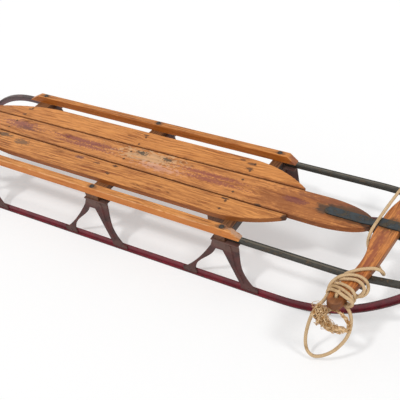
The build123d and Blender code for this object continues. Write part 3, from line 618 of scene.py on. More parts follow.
@dataclass(frozen=True)
class FibreFinish:
    """Loose cotton fibre."""

    name: str
    light: str = "F0D4AA"
    shade: str = "B07E44"

    def material(self) -> bpy.types.Material:
        """The fibre's material."""
        material, w, shader = new_finish(self.name)
        place = w.here()
        tuft = w.add(w.mul(w.noise(place, 130.0, 2.0), 0.6),
                     w.mul(w.noise(place, 700.0, 2.0), 0.4))
        w.feed(shader.inputs["Base Color"], w.mix(
            w.step(tuft, 0.38, 0.62), paint(self.shade), paint(self.light)))
        shader.inputs["Roughness"].default_value = 0.95
        shader.inputs["Specular IOR Level"].default_value = 0.1
        return material


# ---------------------------------------------------------------- making pieces
def put(name: str, data: bpy.types.ID) -> bpy.types.Object:
    """Makes an object and puts it in the scene.

    Args:
        name: the object's name.
        data: its mesh, curve, camera or lamp.

    Returns:
        The object.
    """
    placed = bpy.data.objects.new(name, data)
    bpy.context.scene.collection.objects.link(placed)
    return placed


def worked_out(holder: bpy.types.Object) -> bpy.types.Mesh:
    """The plain mesh that an object's curve or modifiers come to."""
    view = bpy.context.evaluated_depsgraph_get()
    return bpy.data.meshes.new_from_object(holder.evaluated_get(view))


def show(name: str, mesh: bpy.types.Mesh, body: str) -> bpy.types.Object:
    """Puts a finished mesh in the scene as a piece.

    Args:
        name: the piece's name.
        mesh: its mesh, in the row frame.
        body: the CAD body it moves with.

    Returns:
        The piece.
    """
    mesh.name = name
    piece = put(name, mesh)
    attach(piece, body)
    LOG.info("%s: %d faces on %s", name, len(mesh.polygons), body)
    return piece


def grow(base: bpy.types.Mesh, tree: bpy.types.NodeTree, values: dict[str, object]) -> bpy.types.Mesh:
    """Runs a Geometry Nodes tree over a base mesh.

    Args:
        base: the mesh that the tree starts from.
        tree: the tree.
        values: the tree's inputs by name.

    Returns:
        The result as a plain mesh.
    """
    holder = put("holder", base)
    modifier = holder.modifiers.new("make", "NODES")
    modifier.node_group = tree
    for item in tree.interface.items_tree:
        if item.in_out == "INPUT" and item.name in values:
            modifier[item.identifier] = values[item.name]
    mesh = worked_out(holder)
    holder.modifiers.clear()
    bpy.data.objects.remove(holder)
    return mesh


def smooth_line(points: list[Point], detail: int) -> list[Vector]:
    """The points of one smooth curve through a route.

    Args:
        points: the route's points, in metres.
        detail: how many points the curve has from one of them to the next.

    Returns:
        The curve's points in order.
    """
    curve = bpy.data.curves.new("route", "CURVE")
    curve.dimensions = "3D"
    curve.resolution_u = detail
    spline = curve.splines.new("NURBS")
    spline.points.add(len(points) - 1)
    for knot, point in zip(spline.points, points):
        knot.co = (*point, 1.0)
    spline.order_u = 3
    spline.use_endpoint_u = True
    holder = put("route", curve)
    mesh = worked_out(holder)
    line = [vertex.co.copy() for vertex in mesh.vertices]
    bpy.data.objects.remove(holder)
    bpy.data.meshes.remove(mesh)
    return line


def line_length(line: list[Vector]) -> float:
    """A line's length in metres."""
    return sum((end - start).length for start, end in zip(line, line[1:]))


@dataclass(frozen=True)
class Lay:
    """The section of a laid cord: its yarns stand out a little and turn along it.

    The radius and the pitch are in millimetres. The cap is how far an end rounds out, in radii.
    """

    radius: float
    yarns: int = 8
    proud: float = 0.05
    pitch: float = 26.0
    sides: int = 24
    cap: float = 0.4

    def mesh(self, line: list[Vector], closed: bool = False) -> bpy.types.Mesh:
        """A tube along a line, with its UV map.

        Args:
            line: the centreline's points, in metres.
            closed: whether the line meets itself.

        Returns:
            The cord's mesh.
        """
        count, sides = len(line), self.sides
        along = [((line[(i + 1) % count] if closed or i + 1 < count else line[i])
                  - (line[i - 1] if closed or i else line[i])).normalized() for i in range(count)]
        verts, runs = self._rings(line, along)
        faces = [(i * sides + k, i * sides + (k + 1) % sides,
                  (i + 1) % count * sides + (k + 1) % sides, (i + 1) % count * sides + k)
                 for i in range(count if closed else count - 1) for k in range(sides)]
        if not closed:
            cap = self.cap * self.radius * MM
            verts += [line[0] - along[0] * cap, line[-1] + along[-1] * cap]
            last = (count - 1) * sides
            faces += [(k, len(verts) - 2, (k + 1) % sides) for k in range(sides)]
            faces += [(last + k, last + (k + 1) % sides, len(verts) - 1) for k in range(sides)]
        mesh = bpy.data.meshes.new("cord")
        mesh.from_pydata([tuple(v) for v in verts], [], faces)
        self._wrap(mesh, runs, closed)
        mesh.polygons.foreach_set("use_smooth", [True] * len(mesh.polygons))
        mesh.update()
        return mesh

    def _rings(self, line: list[Vector], along: list[Vector]) -> tuple[list[Vector], list[float]]:
        """The rings of points round a line.

        Args:
            line: the centreline's points, in metres.
            along: the line's direction at each of them.

        Returns:
            The rings' points in order, and how far along the line each ring is.
        """
        side = along[0].orthogonal().normalized()
        verts: list[Vector] = []
        runs: list[float] = []
        run = 0.0
        for i, here in enumerate(line):
            run += (here - line[i - 1]).length if i else 0.0
            runs.append(run)
            side = (side - along[i] * side.dot(along[i])).normalized()
            other = along[i].cross(side)
            for k in range(self.sides):
                angle = 2 * math.pi * k / self.sides
                lobe = math.cos(self.yarns * (angle - 2 * math.pi * run / (self.pitch * MM)))
                reach = self.radius * MM * (1.0 - self.proud + self.proud * lobe)
                verts.append(here + side * (reach * math.cos(angle)) + other * (
                    reach * math.sin(angle)))
        return verts, runs

    def _wrap(self, mesh: bpy.types.Mesh, runs: list[float], closed: bool) -> None:
        """Gives a tube its UV map: the share of a turn across, and metres along.

        Args:
            mesh: the tube.
            runs: how far along the line each ring is.
            closed: whether the line meets itself.
        """
        sides, last = self.sides, len(runs) - 1
        layer = mesh.uv_layers.new(name="lay")
        for face in mesh.polygons:
            column = face.index % sides
            for loop in face.loop_indices:
                ring, corner = divmod(mesh.loops[loop].vertex_index, sides)
                wrapped = 1.0 if column == sides - 1 and corner == 0 else corner / sides
                length = runs[min(ring, last)]
                if closed and face.index >= last * sides and ring == 0:
                    length = runs[last]
                layer.data[loop].uv = (wrapped, length)


# ---------------------------------------------------------------- Geometry Nodes trees
class HeadShape(Enum):
    """Shapes of screw and rivet heads."""

    DOME = "dome"
    SLOTTED = "slotted"


def end_tree(w: Wiring, given: Sockets, out: Sockets, shape: Value) -> bpy.types.NodeTree:
    """Ends a tree: its instances are made real, in the material that it is given.

    Args:
        w: the tree's wiring.
        given: what is given to the tree.
        out: what it puts out.
        shape: the geometry so far.

    Returns:
        The tree.
    """
    real = w.made("GeometryNodeRealizeInstances", {0: shape})[0]
    w.feed(out[0], w.made("GeometryNodeSetMaterial", {
        "Geometry": real, "Material": given["Finish"]})[0])
    return w.tree


@cache
def head_tree(shape: HeadShape) -> bpy.types.NodeTree:
    """Heads at a mesh's points, each turned to the point's axis.

    Args:
        shape: the head's shape.

    Returns:
        The Geometry Nodes tree.
    """
    w, given, out = new_group(
        f"{shape.value}_heads", "GeometryNodeTree",
        {"Geometry": Socket.SHAPE, "Radius": Socket.NUMBER, "Height": Socket.NUMBER,
         "Seed": Socket.WHOLE, "Finish": Socket.FINISH},
        {"Geometry": Socket.SHAPE})
    w.tree.is_modifier = True
    radius, height = given["Radius"], given["Height"]
    if shape is HeadShape.DOME:
        ball = w.made("GeometryNodeMeshUVSphere", {"Segments": 14, "Rings": 8, "Radius": 1.0})
        head = w.made("GeometryNodeTransform", {
            "Geometry": ball["Mesh"], "Scale": w.join(radius, radius, height)})["Geometry"]
    else:
        drum = w.made("GeometryNodeMeshCylinder", {
            "Vertices": 20, "Radius": radius, "Depth": w.mul(height, 2.0)})["Mesh"]
        saw = w.made("GeometryNodeMeshCube", {
            "Size": w.join(w.mul(radius, 3.0), w.mul(radius, 0.3), height)})["Mesh"]
        lift = w.made("GeometryNodeTransform", {
            "Geometry": saw, "Translation": w.join(0.0, 0.0, height)})["Geometry"]
        head = w.made("GeometryNodeMeshBoolean", {"Mesh 1": drum, "Mesh 2": lift},
                      operation="DIFFERENCE")["Mesh"]
    axis = w.made("GeometryNodeInputNamedAttribute", {"Name": "axis"},
                  data_type="FLOAT_VECTOR")["Attribute"]
    aim = w.made("FunctionNodeAlignRotationToVector", {"Vector": axis}, axis="Z")[0]
    chance = w.made("FunctionNodeRandomValue", {3: 2 * math.pi, "Seed": given["Seed"]},
                    data_type="FLOAT")[1]
    spin = w.made("FunctionNodeRotateRotation", {0: aim, 1: w.join(0.0, 0.0, chance)},
                  rotation_space="LOCAL")[0]
    placed = w.made("GeometryNodeInstanceOnPoints", {
        "Points": given["Geometry"], "Instance": head, "Rotation": spin})[0]
    return end_tree(w, given, out, placed)


@cache
def fray_tree() -> bpy.types.NodeTree:
    """Loose fibres that wander along a line.

    Returns:
        The Geometry Nodes tree.
    """
    w, given, out = new_group(
        "frayed_fibres", "GeometryNodeTree",
        {"Geometry": Socket.SHAPE, "Count": Socket.WHOLE, "Points": Socket.WHOLE,
         "Radius": Socket.NUMBER, "Wander": Socket.NUMBER, "Curl": Socket.NUMBER,
         "Start": Socket.NUMBER, "End": Socket.NUMBER, "Seed": Socket.NUMBER,
         "Finish": Socket.FINISH},
        {"Geometry": Socket.SHAPE})
    w.tree.is_modifier = True
    line = w.made("GeometryNodeMeshToCurve", {"Mesh": given["Geometry"]})[0]
    many = w.made("GeometryNodeDuplicateElements", {"Geometry": line, "Amount": given["Count"]},
                  domain="SPLINE")
    number = w.made("GeometryNodeStoreNamedAttribute", {
        "Name": "number", "Geometry": many[0], "Value": many["Duplicate Index"]},
        data_type="FLOAT", domain="CURVE")[0]
    fine = w.made("GeometryNodeResampleCurve", {"Curve": number, "Count": given["Points"]})[0]
    own = w.made("GeometryNodeInputNamedAttribute", {"Name": "number"},
                 data_type="FLOAT")["Attribute"]
    shift = w.add(w.mul(own, 3.71), given["Seed"])
    place = w.made("GeometryNodeInputPosition")[0]
    along = w.made("GeometryNodeSplineParameter")["Factor"]
    far = w.vector("ADD", w.vector("SCALE", place, scale=given["Curl"]),
                   w.join(shift, w.mul(shift, 1.7), w.mul(shift, -0.9)))
    cloud = w.made("ShaderNodeTexNoise", {"Vector": far, "Scale": 1.0, "Detail": 1.5})["Color"]
    push = w.vector("SUBTRACT", cloud, (0.5, 0.5, 0.5))
    fat = w.add(given["Start"], w.mul(along, w.sub(given["End"], given["Start"])))
    push = w.vector("SCALE", push, scale=w.mul(fat, given["Wander"]))
    moved = w.made("GeometryNodeSetPosition", {"Geometry": fine, "Offset": push})[0]
    ring = w.made("GeometryNodeCurvePrimitiveCircle", {
        "Resolution": 5, "Radius": given["Radius"]})[0]
    tube = w.made("GeometryNodeCurveToMesh", {
        "Curve": moved, "Profile Curve": ring, "Fill Caps": True})[0]
    return end_tree(w, given, out, w.made("GeometryNodeSetShadeSmooth", {"Geometry": tube})[0])


@dataclass(frozen=True)
class Heads:
    """A set of like screw or rivet heads, each set down on a CAD part.

    Each seat is a part's name, the place where the search starts, in millimetres, and the way it
    goes. The head sits where that line meets the part.
    """

    name: str
    body: str
    shape: HeadShape
    radius: float
    height: float
    seats: tuple[tuple[str, Point, Point], ...]
    seed: int = 1

    def make(self, finish: bpy.types.Material, slot: str) -> bpy.types.Object:
        """Makes the heads as one piece.

        Args:
            finish: their material.
            slot: not used.

        Returns:
            The piece.
        """
        bpy.context.view_layer.update()
        places: list[Vector] = []
        axes: list[float] = []
        for part, start, way in self.seats:
            found, spot, normal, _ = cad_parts[part].ray_cast(Vector(metres(start)), Vector(way))
            if not found:
                raise ValueError(f"{self.name}: nothing of {part} from {start} along {way}")
            facing = normal if normal.dot(Vector(way)) < 0 else -normal
            places.append(spot)
            axes.extend(facing)
        base = bpy.data.meshes.new(self.name)
        base.from_pydata([tuple(p) for p in places], [], [])
        base.attributes.new("axis", "FLOAT_VECTOR", "POINT").data.foreach_set("vector", axes)
        mesh = grow(base, head_tree(self.shape), {
            "Radius": self.radius * MM, "Height": self.height * MM, "Seed": self.seed,
            "Finish": finish})
        return show(self.name, mesh, self.body)


# ---------------------------------------------------------------- the studio
@dataclass(frozen=True)
class Lamp:
    """A sun lamp: the way to it, its strength, and how wide it is in degrees."""

    source: Point
    strength: float
    spread: float


@dataclass
class Studio:
    """The camera, the floor and the light."""

    camera_place: Point = (0.85577321, -1.00342215, 1.08572684)
    camera_right: Point = (0.85403292, 0.50875113, -0.10862811)
    camera_down: Point = (0.253573, -0.58943529, -0.76698551)
    camera_ahead: Point = (-0.45423398, 0.62748572, -0.63240269)
    lens: float = 59.2001
    sensor: float = 36.0
    floor_half: float = 30.0
    floor_white: float = 0.4
    sky: float = 0.52
    lamps: tuple[Lamp, ...] = (
        Lamp((0.75, -0.09, 1.0), 0.85, 12.0),
        Lamp((-0.2, -0.55, 1.0), 1.0, 6.0),
    )

    def build(self) -> None:
        """Makes the camera, the floor, the lamps and the sky."""
        self._camera()
        self._floor()
        self._light()

    def _camera(self) -> None:
        """Makes the camera and sets it as the scene's own."""
        data = bpy.data.cameras.new("camera")
        data.sensor_width = self.sensor
        data.lens = self.lens
        data.clip_end = 100.0
        camera = put("camera", data)
        right, down, ahead = (Vector(axis) for axis in (
            self.camera_right, self.camera_down, self.camera_ahead))
        turn = Matrix((right, -down, -ahead)).transposed()
        camera.matrix_world = Matrix.Translation(self.camera_place) @ turn.to_4x4()
        bpy.context.scene.camera = camera

    def _seen(self, w: Wiring) -> bpy.types.NodeSocket:
        """Whether a ray comes from the camera, off a gloss or through something clear."""
        ray = w.made("ShaderNodeLightPath")
        return w.math("MAXIMUM", ray["Is Camera Ray"], w.math(
            "MAXIMUM", ray["Is Glossy Ray"], ray["Is Transmission Ray"]))

    def _floor(self) -> None:
        """Makes the white floor, which takes the sled's shadow and is clear from below."""
        material, w, shader = new_finish("white_floor")
        shader.inputs["Base Color"].default_value = (1.0, 1.0, 1.0, 1.0)
        shader.inputs["Roughness"].default_value = 1.0
        shader.inputs["Specular IOR Level"].default_value = 0.0
        lit = w.made("ShaderNodeMixShader", {
            0: w.mul(self._seen(w), self.floor_white), 1: shader.outputs[0],
            2: w.made("ShaderNodeEmission")[0]})[0]
        clear = w.made("ShaderNodeMixShader", {
            0: w.made("ShaderNodeNewGeometry")["Backfacing"], 1: lit,
            2: w.made("ShaderNodeBsdfTransparent")[0]})[0]
        w.feed(material.node_tree.nodes["Material Output"].inputs["Surface"], clear)
        half = self.floor_half
        mesh = bpy.data.meshes.new("floor")
        mesh.from_pydata([(-half, -half, 0), (half, -half, 0), (half, half, 0), (-half, half, 0)],
                         [], [(0, 1, 2, 3)])
        mesh.materials.append(material)
        floor = put("floor", mesh)

    def _light(self) -> None:
        """Makes the lamps and the sky."""
        for number, lamp in enumerate(self.lamps):
            data = bpy.data.lights.new(f"lamp_{number}", "SUN")
            data.energy = lamp.strength
            data.angle = math.radians(lamp.spread)
            holder = put(f"lamp_{number}", data)
            holder.rotation_euler = Vector(lamp.source).to_track_quat("Z", "Y").to_euler()
        world = bpy.data.worlds.new("sky")
        world.use_nodes = True
        w = Wiring(world.node_tree)
        shader = world.node_tree.nodes["Background"]
        strength = w.add(self.sky, w.mul(self._seen(w), 1.0 - self.sky))
        shader.inputs["Color"].default_value = (1.0, 1.0, 1.0, 1.0)
        w.feed(shader.inputs["Strength"], strength)
        bpy.context.scene.world = world
        bpy.context.scene.view_settings.view_transform = "Standard"


# ---------------------------------------------------------------- the tow rope
@dataclass
class TowRope:
    """The cotton tow rope, in the steering bar's own frame: ahead, left, above its underside."""

    body: str = "steering"
    pivot: Place = PIVOT
    turn: float = BAR_TURN
    radius: float = 3.5
    strand_radius: float = 2.5
    run: tuple[Point, ...] = (
        (-13.3, 225.0, 23.0), (-19.5, 185.0, 23.2), (-23.0, 110.5, 23.8), (-25.0, 42.5, 25.2),
        (-25.0, 8.5, 26.3), (-25.5, -16.5, 26.5), (-28.0, -37.0, 18.2), (-26.5, -54.0, -4.6),
        (4.0, -84.0, -4.6), (30.0, -111.0, -4.6), (37.0, -120.5, 4.0), (34.0, -125.5, 17.0),
        (22.0, -131.0, 24.0), (8.0, -139.5, 23.8), (-4.0, -149.0, 23.8), (-14.0, -161.0, 24.0),
        (-22.0, -169.0, 22.5), (-25.0, -173.5, 10.0))
    turns: tuple[Point, ...] = (
        (-24.5, -175.5, -3.0), (-16.0, -178.5, -5.2), (-6.0, -182.0, -5.2), (4.0, -185.0, -5.2),
        (14.0, -187.5, -4.8), (21.5, -184.0, -2.5), (26.5, -177.5, 2.0), (27.0, -171.5, 8.5),
        (23.5, -167.0, 16.0), (15.5, -164.5, 22.0), (4.0, -164.5, 25.0), (-8.0, -169.0, 26.5),
        (-17.0, -176.5, 28.5), (-24.5, -185.5, 29.8), (-31.0, -195.5, 26.5), (-36.0, -204.0, 18.5),
        (-37.0, -209.0, 7.0),
        (-31.0, -211.0, -4.0), (-20.0, -209.5, -5.5), (-9.0, -206.0, -5.5), (2.0, -200.0, -5.5),
        (11.0, -193.0, -3.5), (18.0, -187.0, 0.0), (22.0, -183.5, 6.5), (22.5, -180.0, 13.0),
        (17.0, -176.5, 20.0), (8.0, -175.5, 24.2), (-1.5, -176.5, 24.2), (-10.0, -180.0, 24.2),
        (-19.0, -184.0, 24.0), (-27.0, -187.0, 21.5), (-28.5, -190.0, 9.0),
        (-27.0, -193.0, -3.0), (-17.0, -196.0, -5.2), (-7.0, -199.0, -5.2), (2.0, -202.0, -5.2),
        (9.5, -205.0, -4.2), (13.5, -207.0, 1.0), (14.8, -206.5, 8.0), (13.8, -204.5, 16.5),
        (9.0, -202.0, 22.0), (1.0, -199.0, 24.0), (-9.0, -197.0, 24.0), (-19.0, -197.5, 24.0),
        (-28.0, -199.0, 22.0), (-30.5, -201.0, 10.0),
        (-28.5, -203.0, -3.0), (-18.0, -205.0, -5.2), (-8.0, -208.0, -5.2), (1.0, -211.0, -5.2),
        (8.5, -214.0, -3.8), (12.5, -215.5, 2.0), (14.5, -215.5, 9.5), (13.0, -215.0, 17.0),
        (7.5, -213.5, 22.5), (-2.0, -211.5, 25.0), (-12.0, -209.5, 26.0), (-22.0, -208.0, 24.5),
        (-31.0, -208.5, 22.0), (-33.5, -210.5, 10.0),
        (-30.0, -212.5, -3.5), (-20.0, -213.5, -5.2), (-10.0, -216.0, -5.2), (0.0, -218.0, -5.2),
        (8.0, -220.0, -3.5), (14.0, -220.5, 1.5), (17.0, -220.0, 8.0), (15.5, -221.0, 15.5),
        (9.0, -222.5, 21.5), (0.0, -223.0, 25.5), (-9.0, -221.5, 27.5), (-18.0, -219.0, 26.0),
        (-28.0, -217.0, 23.5), (-35.0, -216.0, 15.0), (-35.0, -215.5, 4.0))
    loop: tuple[Point, ...] = (
        (-29.0, -215.0, -4.5), (-18.0, -214.5, -5.5), (-7.0, -215.0, -5.8), (3.0, -217.5, -6.5),
        (12.0, -222.0, -10.5), (18.5, -227.0, -18.5), (21.5, -232.5, -30.0), (22.0, -238.0, -45.0),
        (18.5, -243.5, -62.0), (11.0, -249.0, -80.0), (-1.0, -256.0, -99.5),
        (-16.0, -262.0, -115.0), (-31.0, -265.5, -125.0), (-43.0, -266.0, -128.5),
        (-53.0, -265.0, -121.0), (-58.0, -262.5, -104.0), (-58.5, -260.0, -84.0),
        (-56.5, -258.0, -64.0), (-53.0, -256.0, -43.0), (-49.0, -252.5, -24.0),
        (-44.5, -247.0, -11.0), (-38.5, -239.0, -2.0), (-33.5, -230.0, 5.0), (-32.8, -223.0, 9.0),
        (-32.2, -216.0, 10.0))
    tail: tuple[Point, ...] = (
        (-12.8, -209.0, 22.7), (-12.9, -218.0, 22.9), (-13.1, -225.0, 23.5), (-13.3, -225.3, 12.0),
        (-13.3, -225.0, -6.0), (-19.0, -233.0, -12.5), (-29.0, -243.0, -16.0), (-38.0, -250.0, -22.0))
    strand: tuple[Point, ...] = (
        (-30.0, -250.0, -33.0), (-20.0, -249.5, -40.0), (-8.0, -248.5, -45.5), (6.0, -246.5, -47.5),
        (20.0, -241.0, -42.0))
    garland: tuple[Point, ...] = (
        (-35.0, -249.0, -6.0), (-33.5, -252.0, -15.0), (-29.6, -253.0, -25.0),
        (-21.9, -252.0, -34.7), (-10.5, -250.0, -41.6), (2.7, -248.0, -43.1),
        (17.9, -242.0, -41.8))
    ring: tuple[Point, ...] = (
        (-38.0, -238.0, -16.0), (-24.0, -235.0, -13.7), (-9.7, -233.0, -9.0),
        (3.2, -235.0, -9.5), (13.1, -238.0, -14.5), (20.0, -241.0, -26.0), (21.5, -241.0, -39.0))
    knot_size: float = 1.75
    knot_points: int = 54
    knot_levels: tuple[float, ...] = (22.6, -3.6)
    hole_levels: tuple[float, ...] = (-6.0, 0.0, 6.0, 12.0, 18.0, 24.0)

    def __post_init__(self) -> None:
        """Places the bar's own frame in the row frame."""
        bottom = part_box("steering_bar")[0].z
        self.place = Matrix.Translation((self.pivot[0] * MM, self.pivot[1] * MM, bottom)) @ (
            Matrix.Rotation(math.radians(self.turn), 4, "Z"))

    def _put(self, points: tuple[Point, ...]) -> list[Point]:
        """Points of the bar's own frame, in the row frame and in metres."""
        return [tuple(self.place @ Vector(metres(point))) for point in points]

    def _cord(self, name: str, points: tuple[Point, ...], lay: Lay, finish: bpy.types.Material,
              ) -> tuple[bpy.types.Object, list[Vector]]:
        """Makes one cord.

        Args:
            name: the piece's name.
            points: its route, in the bar's own frame.
            lay: its section.
            finish: its material.

        Returns:
            The piece, and its centreline.
        """
        line = smooth_line(self._put(points), 8)
        mesh = lay.mesh(line)
        mesh.materials.append(finish)
        return show(name, mesh, self.body), line

    def _fray(self, name: str, points: tuple[Point, ...], finish: bpy.types.Material,
              **sizes: float) -> bpy.types.Object:
        """Makes a tangle of loose yarns or fibres along a route.

        Args:
            name: the piece's name.
            points: the route, in the bar's own frame.
            finish: the material.
            sizes: the tree's inputs by name.

        Returns:
            The piece.
        """
        line = smooth_line(self._put(points), 6)
        base = bpy.data.meshes.new(name)
        base.from_pydata([tuple(p) for p in line], [(i, i + 1) for i in range(len(line) - 1)], [])
        mesh = grow(base, fray_tree(), {**sizes, "Finish": finish})
        return show(name, mesh, self.body)

    def _far_knot(self, finish: bpy.types.Material) -> bpy.types.Object:
        """Makes the knots above and below the left handle's hole, with the rope between them.

        Args:
            finish: their material.

        Returns:
            The piece.
        """
        lay = Lay(self.radius - 0.4, sides=16)
        hole = Vector(self.run[0])
        meshes = []
        for level in self.knot_levels:
            line = []
            for step in range(self.knot_points):
                t = 2 * math.pi * step / self.knot_points
                x = math.sin(t) + 2 * math.sin(2 * t)
                y = math.cos(t) - 2 * math.cos(2 * t)
                point = Vector((hole.x + self.knot_size * x, hole.y + self.knot_size * y,
                                level - 1.5 * self.knot_size * math.sin(3 * t)))
                line.append(self.place @ (point * MM))
            meshes.append(lay.mesh(line, closed=True))
        through = [self.place @ (Vector((hole.x, hole.y, level)) * MM)
                   for level in self.hole_levels]
        meshes.append(Lay(self.radius).mesh(through))
        return self._joined("far_knot", meshes, finish)

    def _joined(self, name: str, meshes: list[bpy.types.Mesh], finish: bpy.types.Material,
                ) -> bpy.types.Object:
        """Joins meshes into one piece.

        Args:
            name: the piece's name.
            meshes: the meshes.
            finish: the material.

        Returns:
            The piece.
        """
        holders = [put("part", mesh) for mesh in meshes]
        with bpy.context.temp_override(active_object=holders[0], selected_editable_objects=holders):
            bpy.ops.object.join()
        mesh = holders[0].data
        bpy.data.objects.remove(holders[0])
        mesh.materials.clear()
        mesh.materials.append(finish)
        return show(name, mesh, self.body)

    def build(self) -> None:
        """Makes the rope, its knots and its frayed strands, hides the CAD rope parts and logs the
        lengths of the rope, its end and its ply.
        """
        cotton = RopeFinish("tow_rope_cotton").material()
        fibre = FibreFinish("frayed_cotton").material()
        route = self.run + self.turns + self.loop
        lay = Lay(self.radius, proud=0.07)
        rope, line = self._cord("tow_rope", route, lay, cotton)
        tail, tail_line = self._cord("tow_rope_end", self.tail, lay, cotton)
        strand, strand_line = self._cord(
            "tow_rope_ply", self.strand, Lay(self.strand_radius, yarns=3, proud=0.12, pitch=14.0,
                                             sides=18), cotton)
        knot = self._far_knot(cotton)
        yarns = self._fray("frayed_yarns", self.garland, fibre, Count=14, Points=90,
                           Radius=1.05 * MM, Wander=66.0 * MM, Curl=88.0, Start=1.05, End=0.22,
                           Seed=3.0)
        fluff = self._fray("frayed_fibres", self.garland, fibre, Count=44, Points=80,
                           Radius=0.5 * MM, Wander=78.0 * MM, Curl=110.0, Start=1.0, End=0.22,
                           Seed=41.0)
        ring = self._fray("frayed_ring", self.ring, fibre, Count=13, Points=50, Radius=0.8 * MM,
                          Wander=17.0 * MM, Curl=120.0, Start=0.7, End=1.2, Seed=9.0)
        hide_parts("tow_rope_run", "tow_rope_wraps", "tow_rope_loop")
        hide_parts("tow_rope_tail")
        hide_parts("tow_rope_strand")
        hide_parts("tow_rope_far_knot")
        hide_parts("tow_rope_frayed_knot")
        for piece, path in ((rope, line), (tail, tail_line), (strand, strand_line)):
            LOG.info("%s is %.0f mm long", piece.name, line_length(path) / MM)


# ---------------------------------------------------------------- the wood
def dress(nodes: tuple[str, ...], finish: bpy.types.Material) -> None:
    """Gives CAD parts a finish.

    Args:
        nodes: the parts' names.
        finish: their material.
    """
    for name in nodes:
        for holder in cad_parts[name].material_slots:
            holder.material = finish
        LOG.info("%s: %s", name, finish.name)


